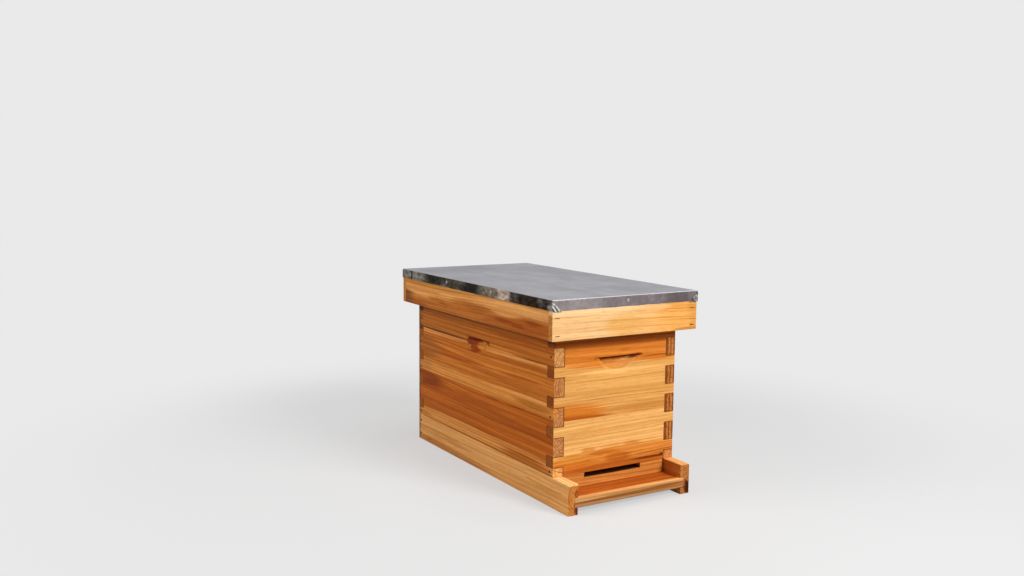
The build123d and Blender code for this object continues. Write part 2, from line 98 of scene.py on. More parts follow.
def grainy(tree, place, size, detail=2.0, output=0):
    """Noise whose lumps have the given size in metres along each axis of the place that it reads."""
    inputs = {"Vector": calc_vector(tree, "DIVIDE", place, size), "Scale": 1.0, "Detail": detail}
    return add_node(tree, "ShaderNodeTexNoise", {}, inputs).outputs[output]


RAGGED = 0.8
PATCH_OUTSIDE = 1.55
PATCH_INSIDE = 0.95


def patched(tree, colour, place, ragged, patches):
    """The colour with listed tones over it: egg shapes with a ragged edge, each given by its centre,
    half sizes and tone."""
    for centre, size, tone in patches:
        off = calc_vector(tree, "DIVIDE", calc_vector(tree, "SUBTRACT", place, centre), size)
        reach = calc(tree, "MULTIPLY_ADD", ragged, RAGGED, calc_vector(tree, "LENGTH", off))
        colour = blended(tree, eased(tree, reach, PATCH_OUTSIDE, PATCH_INSIDE), colour, tone)
    return colour


SLOW_BEND = (0.45, 0.16, 0.16)
QUICK_BEND = (0.14, 0.03, 0.03)
QUICK_WANDER = 0.0022
RINGS_PER_METRE = 70.0
RING_DRIFT = 1.6
HEART_EDGE = (0.2, 0.012, 0.012)
HEART_WANDER = 0.014
HEART_BLUR = 0.004
RESIN_LINE = (0.28, 0.0028, 0.0028)
RESIN_PLACE = (0.12, 0.03, 0.03)
FLECK = (0.018, 0.0006, 0.0006)
FIGURE = {"Band": (0.75, 0.015, 0.015), "Streak": (0.6, 0.004, 0.004), "Fibre": (0.06, 0.0012, 0.0012)}


def grown_wood():
    """How a fir trunk grows, in the trunk's own axes with the pith along X: heartwood inside sapwood, yearly
    rings with a dark late edge, and bands, streaks, resin lines, fibres and flecks along the trunk."""
    tree = bpy.data.node_groups.new("grown_wood", "ShaderNodeTree")
    for name, kind in (("Trunk", "Vector"), ("Heart", "Float"), ("Ring", "Float"), ("Wander", "Float")):
        tree.interface.new_socket(name, in_out="INPUT", socket_type="NodeSocket" + kind)
    for name in ("Heartwood", "Late", "Band", "Streak", "Resin", "Fibre", "Fleck"):
        tree.interface.new_socket(name, in_out="OUTPUT", socket_type="NodeSocketFloat")
    given = tree.nodes.new("NodeGroupInput").outputs
    trunk = given["Trunk"]

    slow = calc_vector(tree, "SUBTRACT", grainy(tree, trunk, SLOW_BEND, 1.0, "Color"), (0.5,) * 3)
    quick = calc_vector(tree, "SUBTRACT", grainy(tree, trunk, QUICK_BEND, 2.0, "Color"), (0.5,) * 3)
    bent = calc_vector(tree, "ADD", trunk, scaled(tree, slow, given["Wander"]))
    bent = calc_vector(tree, "ADD", bent, scaled(tree, quick, QUICK_WANDER))
    radius = calc_vector(tree, "LENGTH", calc_vector(tree, "MULTIPLY", bent, (0.0, 1.0, 1.0)))

    uneven = add_node(tree, "ShaderNodeTexNoise", {"noise_dimensions": "1D"},
                      {"W": radius, "Scale": RINGS_PER_METRE})
    years = calc(tree, "DIVIDE", radius, given["Ring"])
    years = calc(tree, "MULTIPLY_ADD", uneven.outputs[0], RING_DRIFT, years)
    part = calc(tree, "FRACT", years)
    late = calc(tree, "MULTIPLY", eased(tree, part, 0.4, 0.92), eased(tree, part, 1.0, 0.94))
    year = add_node(tree, "ShaderNodeTexWhiteNoise", {"noise_dimensions": "1D"},
                    {"W": calc(tree, "FLOOR", years)})
    late = calc(tree, "MULTIPLY", late, eased(tree, year.outputs["Value"], 0.0, 1.0, 0.2, 1.0))

    rough_edge = calc(tree, "SUBTRACT", grainy(tree, bent, HEART_EDGE), 0.5)
    edge = calc(tree, "MULTIPLY_ADD", rough_edge, HEART_WANDER, radius)
    inside = calc(tree, "SUBTRACT", given["Heart"], edge)
    resin = calc(tree, "MULTIPLY", eased(tree, grainy(tree, bent, RESIN_LINE, 1.0), 0.64, 0.76),
                 eased(tree, grainy(tree, trunk, RESIN_PLACE, 1.0), 0.45, 0.62))
    results = {"Heartwood": eased(tree, inside, -HEART_BLUR, HEART_BLUR), "Late": late, "Resin": resin,
               "Fleck": eased(tree, grainy(tree, bent, FLECK, 1.0), 0.56, 0.74)}
    for name, lump in FIGURE.items():
        results[name] = grainy(tree, bent, lump)
    add_node(tree, "NodeGroupOutput", {}, results)
    return tree


def new_material(name):
    """A material, its node tree, its shader's inputs and the coordinates of the point being shaded."""
    material = bpy.data.materials.new(name)
    material.use_nodes = True
    tree = material.node_tree
    here = tree.nodes.new("ShaderNodeTexCoord").outputs
    return material, tree, tree.nodes["Principled BSDF"].inputs, here


wood_growth = grown_wood()
GRAIN_TURN = {"x": (0.0, 0.0, 0.0), "y": (0.0, 0.0, math.pi / 2), "z": (0.0, -math.pi / 2, 0.0)}
GRAIN_AXIS = {"x": (1.0, 0.0, 0.0), "y": (0.0, 1.0, 0.0), "z": (0.0, 0.0, 1.0)}
SAP = (0.78, 0.39, 0.109)
HEART = (0.82, 0.275, 0.04)
PALE_ENDS = (0.54, 0.21, 0.062)
KNOT = (0.12, 0.03, 0.006)
BAND_SHADE = (0.66, 0.53, 0.35)
LINE_SHADE = (0.58, 0.42, 0.28)
STREAK_SHADE = (0.76, 0.64, 0.46)
FLECK_SHADE = (0.80, 0.70, 0.56)
GRAIN_RELIEF = 0.0003


def fir(name, grain, pith, heart=0.08, sap=SAP, heartwood=HEART, lean=(0.0, 0.0), ring=0.0042, wander=0.012,
        ends=PALE_ENDS, rough=0.5, figure=0.75, patches=(), knots=()):
    """Waxed fir sawn from a trunk whose pith passes through the given point along the grain, leaning a little
    sideways and upwards. Heart is the heartwood's radius, ends the tone of the end grain, and figure how
    strongly the bands and streaks show."""
    material, tree, finish, here = new_material(name)
    place = here["Object"]
    turn = Euler(GRAIN_TURN[grain]).to_matrix() @ Euler((0.0, lean[1], lean[0])).to_matrix()
    trunk = add_node(tree, "ShaderNodeMapping", {"vector_type": "TEXTURE"},
                     {"Vector": place, "Location": pith, "Rotation": turn.to_euler()}).outputs[0]
    core = 0.0
    for centre, size in knots:
        off = calc_vector(tree, "SUBTRACT", place, centre)
        reach = calc_vector(tree, "LENGTH", calc_vector(tree, "DIVIDE", off, size))
        rise = calc_vector(tree, "DOT_PRODUCT", off, (0.0, 0.0, 1.0))
        swerve = calc(tree, "MULTIPLY", eased(tree, reach, 4.0, 0.5, 0.0, 0.85), rise)
        aside = add_node(tree, "ShaderNodeCombineXYZ", {}, {2: swerve}).outputs[0]
        trunk = calc_vector(tree, "SUBTRACT", trunk, aside)
        core = calc(tree, "MAXIMUM", core, eased(tree, reach, 1.2, 0.5))
    growth = add_node(tree, "ShaderNodeGroup", {"node_tree": wood_growth},
                      {"Trunk": trunk, "Heart": heart, "Ring": ring, "Wander": wander}).outputs

    def darker(shade):
        return blended(tree, 1.0, colour, shade, "MULTIPLY")

    colour = blended(tree, growth["Heartwood"], sap, heartwood)
    band_share = calc(tree, "MULTIPLY", eased(tree, growth["Band"], 0.38, 0.66, 0.0, figure),
                      eased(tree, growth["Heartwood"], 0.0, 1.0, 0.3, 1.0))
    colour = blended(tree, band_share, colour, darker(BAND_SHADE))
    facing = calc_vector(tree, "DOT_PRODUCT", here["Normal"], GRAIN_AXIS[grain])
    end_share = eased(tree, calc(tree, "ABSOLUTE", facing), 0.5, 0.9)
    colour = blended(tree, end_share, colour, ends)
    colour = patched(tree, colour, place, growth["Streak"], patches)
    lines = calc(tree, "MULTIPLY", growth["Late"], eased(tree, end_share, 0.0, 1.0, 0.5 * figure, 1.0))
    lines = calc(tree, "MAXIMUM", lines, growth["Resin"])
    colour = blended(tree, lines, colour, darker(LINE_SHADE))
    streak_share = eased(tree, growth["Streak"], 0.62, 0.36, 0.0, figure)
    colour = blended(tree, streak_share, colour, darker(STREAK_SHADE))
    colour = blended(tree, growth["Fleck"], colour, darker(FLECK_SHADE))
    colour = scaled(tree, colour, eased(tree, growth["Fibre"], 0.25, 0.75, 0.96, 1.13))
    colour = blended(tree, core, colour, KNOT)

    height = calc(tree, "MULTIPLY_ADD", growth["Late"], 0.5, growth["Fibre"])
    bump = add_node(tree, "ShaderNodeBump", {},
                    {"Strength": 0.25, "Distance": GRAIN_RELIEF, "Height": height})
    sheen = eased(tree, growth["Fibre"], 0.25, 0.75, rough - 0.05, rough + 0.1)
    fill(tree, finish, {"Base Color": colour, "Roughness": sheen, "Normal": bump.outputs[0],
                        "Specular IOR Level": 0.06})
    return material


SMOOTH_ANGLE = math.radians(26)
FLAT_ANGLE = math.radians(0.5)
MERGE = 1e-6
ARRIS = 0.0008


def new_piece(name, shape, materials, body, nodes):
    """The finished shape as a piece of the hive that rides on its body and stands for its nodes."""
    bmesh.ops.dissolve_degenerate(shape, dist=2 * MERGE, edges=shape.edges)
    mesh = bpy.data.meshes.new(name)
    shape.to_mesh(mesh)
    shape.free()
    if "custom_normal" in mesh.attributes:
        mesh.attributes.remove(mesh.attributes["custom_normal"])
    mesh.shade_smooth()
    mesh.set_sharp_from_angle(angle=SMOOTH_ANGLE)
    for material in materials:
        mesh.materials.append(material)
    piece = bpy.data.objects.new(name, mesh)
    bpy.context.scene.collection.objects.link(piece)
    weighted = piece.modifiers.new("even_normals", "WEIGHTED_NORMAL")
    weighted.keep_sharp = True
    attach(piece, body)
    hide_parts(*nodes)
    return piece


def merged_shape(node):
    """A node's own shape with the corners of its loose triangles merged."""
    shape = bmesh.new()
    shape.from_mesh(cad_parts[node].data)
    bmesh.ops.remove_doubles(shape, verts=shape.verts, dist=MERGE)
    return shape


def copied_shape(node):
    """A node's own shape with its triangles joined into flat faces."""
    shape = merged_shape(node)
    bmesh.ops.dissolve_limit(shape, angle_limit=FLAT_ANGLE, verts=shape.verts, edges=shape.edges)
    return shape


def ease_arrises(shape, width, shortest=0.005):
    """Takes the arrises off, as a plane or sandpaper does, and gives the new faces there."""
    edges = [edge for edge in shape.edges
             if edge.is_convex and edge.calc_face_angle() > 1.0 and edge.calc_length() > shortest]
    made = bmesh.ops.bevel(shape, geom=edges, offset=width, offset_type="OFFSET", segments=4, profile=0.5,
                           material=-1, affect="EDGES", clamp_overlap=False)
    return made["faces"]


def board(node, body, material, arris=ARRIS):
    """A plain board: its node's shape with eased arrises, in one piece of wood."""
    shape = copied_shape(node)
    ease_arrises(shape, arris)
    return new_piece(node + "_board", shape, [material], body, [node])


RAIL_SAP = (1.0, 0.50, 0.165)
RAIL_HEART = (0.66, 0.20, 0.03)
RAIL_ENDS = (0.62, 0.24, 0.055)
RAIL_END_DARK = (0.16, 0.035, 0.005)
low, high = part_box("floor_rail_left")
left_rail_tones = [
    ((low.x, 0.17, 0.004), (0.004, 0.24, 0.012), (0.66, 0.27, 0.07)),
    ((low.x, -0.21, 0.030), (0.004, 0.07, 0.0022), (0.76, 0.33, 0.08)),
    ((low.x, high.y, 0.025), (0.01, 0.007, 0.06), (0.22, 0.08, 0.02)),
    ((low.x + 0.01, low.y, high.z), (0.03, 0.08, 0.003), (1.0, 0.62, 0.25)),
    # The front end is darker at its inner side, round the deck's end and below it.
    ((high.x - 0.003, low.y, 0.037), (0.006, 0.004, 0.006), (0.38, 0.11, 0.012)),
    ((high.x, low.y, 0.012), (0.008, 0.004, 0.022), RAIL_END_DARK),
]
board("floor_rail_left", "floor",
      fir("left_rail_fir", "y", (high.x + 0.006, 0.0, 0.026), 0.022, RAIL_SAP, RAIL_HEART, lean=(0.0, 0.01),
          ends=RAIL_ENDS, patches=left_rail_tones))
low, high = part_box("floor_rail_right")
right_rail_tones = [
    ((low.x, low.y + 0.02, 0.040), (0.006, 0.05, 0.014), (0.62, 0.25, 0.06)),
    # The front end is darker low down at its outer side.
    ((high.x - 0.003, low.y, 0.012), (0.010, 0.006, 0.014), (0.07, 0.015, 0.003)),
]
board("floor_rail_right", "floor",
      fir("right_rail_fir", "y", (high.x + 0.004, 0.0, 0.0), 0.024, RAIL_SAP, RAIL_HEART, lean=(0.0, 0.01),
          ends=(0.48, 0.185, 0.05), patches=right_rail_tones))
low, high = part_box("floor_rail_back")
board("floor_rail_back", "floor",
      fir("back_rail_fir", "x", (0.0, low.y - 0.03, high.z), 0.05, RAIL_SAP, RAIL_HEART, lean=(0.02, 0.02),
          ends=RAIL_ENDS))

# Floor boards
# Four short boards lie crosswise in the rails' grooves, tongued and grooved into each other.
# The first one is the landing in front of the entrance, with a rounded nose that is paler along its top edge,
# partly paler wood and partly a painted highlight.

FLOOR_RED = (0.56, 0.148, 0.021)
NOSE_PALE_AND_HIGHLIGHT = (0.84, 0.43, 0.17)
NOSE_BROWN = (0.30, 0.115, 0.025)
NOSE_TAN = (0.60, 0.31, 0.12)
NOSE_GREY = (0.44, 0.22, 0.09)
for number in (1, 2, 3, 4):
    node = "floor_board_%d" % number
    low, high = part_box(node)
    pith = (0.0, (low.y + high.y) / 2 + 0.02 * (-1) ** number, low.z - 0.03)
    nose_tones = []
    if number == 1:
        nose_tones = [((0.0, low.y, low.z + 0.003), (0.6, 0.004, 0.004), NOSE_GREY),
                ((0.0, low.y, high.z - 0.004), (0.6, 0.008, 0.006), NOSE_TAN),
                # Paler wood and a painted highlight along the top of the rounded nose.
                ((0.0, low.y + 0.0015, high.z), (0.6, 0.006, 0.0027), NOSE_PALE_AND_HIGHLIGHT),
                ((0.0, low.y, high.z - 0.0085), (0.12, 0.003, 0.0024), NOSE_BROWN),
                ((0.085, low.y, high.z - 0.0065), (0.05, 0.003, 0.0016), NOSE_BROWN)]
    board(node, "floor",
          fir("floor_fir_%d" % number, "x", pith, 0.075, heartwood=FLOOR_RED, patches=nose_tones))

# Floor nails
# Two wire nails at each side go through the side rails into the ends of the back rail.
# Their steel has dulled to brown, and their heads stand a hair proud of the wood.

NAIL_HEAD = 0.0024
NAIL_PROUD = 0.0002
DULL_LUMP = 0.0012
RUST_SHADE = (0.55, 0.42, 0.32)


def solids_of(node):
    """Lowest and highest corner of each separate solid of a node."""
    shape = merged_shape(node)
    left = dict.fromkeys(shape.verts)
    corners = []
    while left:
        edge = [left.popitem()[0]]
        found = list(edge)
        while edge:
            for link in edge.pop().link_edges:
                for vert in link.verts:
                    if vert in left:
                        del left[vert]
                        edge.append(vert)
                        found.append(vert)
        spread = [sorted(vert.co[axis] for vert in found) for axis in range(3)]
        corners.append((Vector(s[0] for s in spread), Vector(s[-1] for s in spread)))
    shape.free()
    return corners


def steel(name, tone, rough):
    """Drawn steel wire that has dulled: blotchy and a little brown."""
    material, tree, finish, here = new_material(name)
    dull = grainy(tree, here["Object"], (DULL_LUMP,) * 3, 3.0)
    rusty = tuple(channel * shade for channel, shade in zip(tone, RUST_SHADE))
    fill(tree, finish, {"Base Color": blended(tree, eased(tree, dull, 0.4, 0.65), tone, rusty),
                        "Roughness": eased(tree, dull, 0.3, 0.7, rough - 0.1, rough + 0.15),
                        "Metallic": 1.0, "Specular Tint": (0.5, 0.42, 0.36, 1.0)})
    return material


nail_steel = steel("nail_steel", (0.07, 0.04, 0.022), 0.5)


def round_nail(shape, head, inward, radius, length, proud):
    """A wire nail driven inwards from the middle of its slightly domed head, which stands proud."""
    turn = Vector((0.0, 0.0, -1.0)).rotation_difference(inward).to_matrix().to_4x4()
    place = Matrix.Translation(head) @ turn
    crown = bmesh.ops.create_cone(shape, cap_ends=True, segments=18, radius1=radius, radius2=radius * 0.9,
                                  depth=2 * proud, matrix=place)
    edges = dict.fromkeys(edge for vert in crown["verts"] for edge in vert.link_edges)
    rim = [edge for edge in edges if edge.calc_face_angle(0.0) > 0.8]
    bmesh.ops.bevel(shape, geom=rim, offset=proud * 0.5, segments=2, profile=0.5, material=-1, affect="EDGES",
                    clamp_overlap=True)
    bmesh.ops.create_cone(shape, cap_ends=True, segments=8, radius1=radius * 0.1, radius2=radius * 0.42,
                          depth=length, matrix=place @ Matrix.Translation((0.0, 0.0, -length / 2)))


def driven_nails(node, body, radius, proud, metal=nail_steel, middle=0.0, sunk=0.0):
    """Nails driven lengthwise towards the middle, one for each solid of the node."""
    shape = bmesh.new()
    for low, high in solids_of(node):
        sizes = list(high - low)
        length = max(sizes)
        axis = sizes.index(length)
        head = (low + high) / 2
        outside = 1 if head[axis] > middle else -1
        head[axis] += outside * (length / 2 - sunk)
        inward = Vector()
        inward[axis] = -outside
        round_nail(shape, head, inward, radius, length, proud)
    return new_piece(node + "_driven", shape, [metal], body, [node])


driven_nails("floor_nails", "floor", NAIL_HEAD, NAIL_PROUD)

# Entrance bar
# A loose square bar of fir lies on the floor under the box front and narrows the entrance to a slot.
# The slot is a notch cut in its top edge, whose floor is painted dark as shade inside the slot.

NOTCH_HEIGHT = 0.0085
NOTCH_SHADE = (0.05, 0.014, 0.005)
low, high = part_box("entrance_reducer")
# Painted shade on the notch's floor, so that the slot looks dark inside.
notch_shade = ((0.0, low.y + 0.0105, high.z - NOTCH_HEIGHT), (0.3, 0.0092, 0.0045), NOTCH_SHADE)
board("entrance_reducer", "entrance_reducer",
      fir("entrance_bar_fir", "x", (0.0, low.y - 0.02, low.z - 0.06), 0.09, heartwood=(0.80, 0.335, 0.082),
          patches=[notch_shade]))

# Box boards
# Four boards, each edge-glued from three strips of fir, meet in finger joints at the corners.
# Each has a scooped handhold, with painted shade under its ledge. The joints' arrises are dark,
# partly with glue and wax and partly with painted shade between the fingers. On the left side the upper
# glue line has opened a little, and painted shade runs along it.

BOARD = 0.020
LEDGE = 0.244
HAND_WIDTH = 0.091
HAND_HEIGHT = 0.0285
HAND_DEPTH = 0.013
HAND_X = 0.0035
HAND_Y = 0.01495
BOWL_FIT = 0.0003
arc_radius = ((HAND_WIDTH / 2) ** 2 + HAND_HEIGHT ** 2) / (2 * HAND_HEIGHT)
ball_rise = arc_radius - HAND_HEIGHT
ball_away = (arc_radius ** 2 - ball_rise ** 2 - HAND_DEPTH ** 2) / (2 * HAND_DEPTH)
ball_radius = math.hypot(ball_away, arc_radius)
front_low, front_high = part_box("box_front")
box_low = Vector((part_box("box_left")[0].x, front_low.y, front_low.z))
box_high = Vector((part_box("box_right")[1].x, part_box("box_back")[1].y, front_high.z))
left_x, right_x = box_low.x, box_high.x
front_y, back_y = box_low.y, box_high.y
GLUE_AND_SHADE = (0.28, 0.09, 0.017)
joint_glue_and_shade = fir("joint_glue_and_shade", "z", (0.0, 0.0, 0.0), 0.05, GLUE_AND_SHADE, GLUE_AND_SHADE, ends=GLUE_AND_SHADE)


def glued_board(node, scoop, seams, woods, arris=ARRIS):
    """A board edge-glued from strips: cut along its seams, lowest first, with one wood for each strip. The
    arrises of its fingers are dark, partly with glue and partly with painted shade between the fingers, and
    its handhold is part of a smooth ball round the scoop."""

    def in_bowl(place):
        return abs((place - scoop).length - ball_radius) < BOWL_FIT

    shape = copied_shape(node)
    bowl = [edge for edge in shape.edges
            if any(in_bowl(face.calc_center_median()) for face in edge.link_faces)]
    bmesh.ops.subdivide_edges(shape, edges=bowl, cuts=3, use_grid_fill=True)
    for vert in shape.verts:
        if in_bowl(vert.co):
            vert.co = scoop + (vert.co - scoop).normalized() * ball_radius
    for face in ease_arrises(shape, arris):
        middle = face.calc_center_median()
        from_side = box_high.x - abs(middle.x)
        from_end = min(middle.y - box_low.y, box_high.y - middle.y)
        from_edge = min(middle.z - box_low.z, box_high.z - middle.z)
        deep = max(from_side, from_end)
        if 1.5 * arris < deep < BOARD + arris and from_edge > 1.5 * arris:
            face.material_index = len(woods)
    for height in seams:
        bmesh.ops.bisect_plane(shape, geom=shape.verts[:] + shape.edges[:] + shape.faces[:], dist=1e-7,
                               plane_co=(0.0, 0.0, height), plane_no=(0.0, 0.0, 1.0))
    for face in shape.faces:
        if face.material_index == 0:
            face.material_index = sum(face.calc_center_median().z > height for height in seams)
    return new_piece(node + "_board", shape, woods + [joint_glue_and_shade], "hive_box", [node])


# Painted shade in the handholds' bowls, under their ledges.
HAND_SHADE = (0.13, 0.015, 0.001)
HAND_HALF_SHADE = (0.26, 0.045, 0.003)
FRONT_ORANGE = (0.76, 0.25, 0.036)
FRONT_BROWN = (0.66, 0.20, 0.022)
# Painted shadow of the lid on the top of the front board.
LID_SHADOW = (0.33, 0.082, 0.008)
front_seams = (0.1433, 0.238)
# The bowl's own tone, then painted shade under the ledge: a half shade at its left, deeper shade in its
# middle and at both ends.
front_hand_tone_and_shade = [
    ((HAND_X, front_y + 0.008, 0.230), (0.047, 0.0068, 0.020), (0.68, 0.265, 0.052)),
    ((-0.012, front_y + 0.010, LEDGE - 0.005), (0.036, 0.010, 0.0085), (0.50, 0.165, 0.028)),
    ((HAND_X, front_y + 0.0125, LEDGE - 0.001), (0.05, 0.0105, 0.006), HAND_HALF_SHADE),
    ((-0.028, front_y + 0.0075, LEDGE - 0.0015), (0.020, 0.0062, 0.006), HAND_SHADE),
    ((0.038, front_y + 0.006, LEDGE - 0.0015), (0.022, 0.0062, 0.0072), HAND_SHADE),
]
# Paler wood and a painted highlight along the bowl's lower rim.
bowl_rim_pale_and_highlight = ((0.004, front_y + 0.001, 0.2165), (0.026, 0.006, 0.004), (0.93, 0.50, 0.175))
lower_front_tones = [
    ((0.07, front_y, 0.0735), (0.09, 0.03, 0.019), (0.74, 0.27, 0.046)),
    ((-0.005, front_y, 0.076), (0.05, 0.03, 0.018), (0.72, 0.26, 0.042)),
    ((-0.085, front_y, 0.078), (0.035, 0.015, 0.008), (0.74, 0.30, 0.05)),
    ((0.036, front_y, 0.086), (0.026, 0.03, 0.009), (0.72, 0.27, 0.05)),
    ((-0.055, front_y, 0.088), (0.018, 0.03, 0.007), (0.74, 0.30, 0.06)),
    ((-0.025, front_y, 0.0815), (0.035, 0.03, 0.004), (0.60, 0.185, 0.022)),
    ((0.005, front_y, 0.0705), (0.032, 0.03, 0.0085), (0.55, 0.15, 0.016)),
    ((0.01, front_y, 0.0535), (0.115, 0.03, 0.009), (0.56, 0.15, 0.018)),
    ((0.075, front_y, 0.0595), (0.04, 0.03, 0.0022), (0.24, 0.055, 0.007)),
]
middle_front_tones = [
    ((0.0, front_y, 0.219), (0.115, 0.015, 0.0035), (0.95, 0.51, 0.16)),
    ((-0.105, front_y, 0.152), (0.105, 0.03, 0.0195), FRONT_BROWN),
    ((-0.09, front_y, 0.1453), (0.09, 0.03, 0.0055), (0.45, 0.105, 0.009)),
    ((0.07, front_y, 0.152), (0.10, 0.03, 0.010), (0.62, 0.265, 0.06)),
    ((-0.035, front_y, 0.238), (0.10, 0.05, 0.0115), FRONT_ORANGE),
    ((0.09, front_y, 0.236), (0.05, 0.03, 0.0068), FRONT_BROWN),
]
upper_front_shade_and_tones = [
    # Painted shadow of the lid along the top of the strip.
    ((0.02, front_y, 0.2690), (0.3, 0.03, 0.0104), LID_SHADOW),
    ((0.085, front_y, 0.2385), (0.04, 0.02, 0.0012), (0.30, 0.07, 0.008)),
    # Painted shade at both ends of the handhold's ledge.
    ((-0.041, front_y, 0.2425), (0.007, 0.02, 0.003), (0.44, 0.12, 0.013)),
    ((0.0462, front_y, 0.2427), (0.0085, 0.02, 0.0026), (0.24, 0.05, 0.005)),
    ((0.016, front_y, 0.254), (0.014, 0.02, 0.004), (0.58, 0.16, 0.017)),
    # Painted shade under the lid on the top finger at the front-left corner.
    ((left_x, front_y + 0.01, 0.290), (0.006, 0.02, 0.022), (0.10, 0.018, 0.002)),
]
glued_board("box_front", Vector((HAND_X, front_y - ball_away, LEDGE + ball_rise)), front_seams, [
    fir("front_lower_fir", "x", (0.0, front_y + 0.034, 0.053), 0.042, sap=(0.89, 0.48, 0.155),
        lean=(0.0, -0.03), ends=(0.38, 0.115, 0.02), patches=lower_front_tones,
        knots=[((0.101, front_y, 0.0615), (0.006, 0.05, 0.0028))]),
    fir("front_middle_fir", "x", (0.0, front_y + 0.10, 0.060), 0.06, figure=0.5, ends=(0.30, 0.07, 0.006),
        patches=middle_front_tones + front_hand_tone_and_shade + [bowl_rim_pale_and_highlight]),
    fir("front_upper_fir", "x", (0.0, front_y + 0.05, 0.290), 0.09, heartwood=(0.74, 0.245, 0.035),
        lean=(0.0, 0.02), figure=0.5, ends=(0.27, 0.047, 0.003), patches=upper_front_shade_and_tones + front_hand_tone_and_shade),
])

BACK_ENDS = (0.40, 0.12, 0.018)
# Painted shade under the back handhold's ledge.
back_hand_shade = [((HAND_X, back_y - 0.0125, LEDGE - 0.001), (0.05, 0.0105, 0.007), HAND_SHADE)]
# Painted shade where the opened upper glue line of the left side meets this board's finger.
open_line_end_shade = ((left_x, back_y - 0.010, 0.233), (0.003, 0.014, 0.006), (0.14, 0.04, 0.008))
# Painted shade under the lid on the top finger at the back-left corner.
top_finger_shade = ((left_x, back_y - 0.010, 0.275), (0.003, 0.022, 0.012), (0.10, 0.030, 0.007))
glued_board("box_back", Vector((HAND_X, back_y + ball_away, LEDGE + ball_rise)), front_seams, [
    fir("back_lower_fir", "x", (0.0, back_y - 0.045, 0.085), 0.065, lean=(0.0, -0.02), ends=BACK_ENDS),
    fir("back_middle_fir", "x", (0.0, back_y - 0.05, 0.230), 0.07, lean=(0.0, 0.05), ends=BACK_ENDS,
        patches=back_hand_shade + [open_line_end_shade]),
    fir("back_upper_fir", "x", (0.0, back_y - 0.05, 0.250), 0.07, lean=(0.0, -0.02), ends=BACK_ENDS,
        patches=back_hand_shade + [top_finger_shade]),
])

SIDE_SAP = (0.92, 0.39, 0.105)
BROWN_LINE = (0.62, 0.18, 0.02)
OPEN_LINE_SHADE = (0.08, 0.018, 0.002)
side_seams = (0.148, 0.2355)
dark_edge = ((left_x - 0.003, back_y, 0.17), (0.006, 0.009, 0.4), (0.17, 0.055, 0.012))
# The bowl's own tone, then painted shade under the ledge, on the bowl's back end and at the ledge's front
# end.
left_hand_tone_and_shade = [
    ((left_x + 0.009, -0.002, 0.231), (0.009, 0.034, 0.013), (0.74, 0.27, 0.045)),
    ((left_x + 0.0065, -0.008, LEDGE - 0.002), (0.0054, 0.036, 0.0065), HAND_HALF_SHADE),
    ((left_x + 0.0065, 0.038, LEDGE - 0.018), (0.0054, 0.020, 0.012), (0.40, 0.075, 0.005)),
    ((left_x + 0.003, 0.030, LEDGE - 0.024), (0.0045, 0.022, 0.0075), (0.42, 0.080, 0.004)),
    ((left_x + 0.003, 0.046, LEDGE - 0.0085), (0.006, 0.011, 0.0085), (0.30, 0.050, 0.002)),
    ((left_x + 0.0085, 0.032, LEDGE - 0.0025), (0.0072, 0.032, 0.0078), (0.22, 0.018, 0.001)),
    ((left_x + 0.0012, -0.0285, LEDGE - 0.0035), (0.004, 0.003, 0.005), (0.14, 0.035, 0.004)),
]
lower_left_tones = [
    ((left_x, -0.155, 0.058), (0.015, 0.10, 0.010), (0.56, 0.165, 0.019)),
    # Painted shadow along the bottom of the side, where it sits on the rail.
    ((left_x, 0.0, 0.0525), (0.004, 0.6, 0.0045), (0.56, 0.20, 0.04)),
    ((left_x, 0.13, 0.1165), (0.02, 0.13, 0.0055), (0.48, 0.105, 0.009)),
    ((left_x, 0.245, 0.133), (0.02, 0.10, 0.023), (0.36, 0.072, 0.006)),
    ((left_x, 0.24, 0.058), (0.004, 0.05, 0.005), (0.62, 0.25, 0.05)),
    ((left_x + 0.01, front_y, 0.057), (0.02, 0.004, 0.013), (0.88, 0.47, 0.16)),
    dark_edge,
]
middle_left_tones = [
    ((left_x, 0.14, 0.197), (0.05, 0.17, 0.0065), (0.54, 0.135, 0.012)),
    ((left_x, 0.0, 0.1585), (0.01, 0.4, 0.0115), (0.84, 0.33, 0.066)),
    ((left_x, 0.27, 0.198), (0.05, 0.125, 0.030), (0.49, 0.16, 0.025)),
    ((left_x, 0.25, 0.161), (0.004, 0.06, 0.015), (0.66, 0.26, 0.06)),
    ((left_x, -0.145, 0.197), (0.05, 0.07, 0.006), BROWN_LINE),
    ((left_x, 0.0, 0.2215), (0.05, 0.30, 0.0035), BROWN_LINE),
    ((left_x, 0.0, 0.1745), (0.05, 0.30, 0.0035), BROWN_LINE),
    ((left_x, -0.185, 0.158), (0.01, 0.075, 0.0055), (0.56, 0.18, 0.024)),
    # Painted shade along the upper glue line, where the joint has opened a little.
    ((left_x, 0.160, 0.2350), (0.02, 0.13, 0.0019), (0.13, 0.03, 0.004)),
    ((left_x, -0.168, 0.2352), (0.02, 0.06, 0.0013), OPEN_LINE_SHADE),
    dark_edge,
]
upper_left_tones = [
    ((left_x, 0.24, 0.262), (0.05, 0.30, 0.05), (0.49, 0.152, 0.019)),
    ((left_x, back_y, 0.255), (0.004, 0.026, 0.010), (0.36, 0.10, 0.013)),
    # Painted shade along the upper glue line and at its back end.
    ((left_x, 0.160, 0.2360), (0.02, 0.13, 0.0016), (0.17, 0.04, 0.005)),
    ((left_x, 0.255, 0.2365), (0.004, 0.018, 0.0035), (0.12, 0.03, 0.005)),
    dark_edge,
]
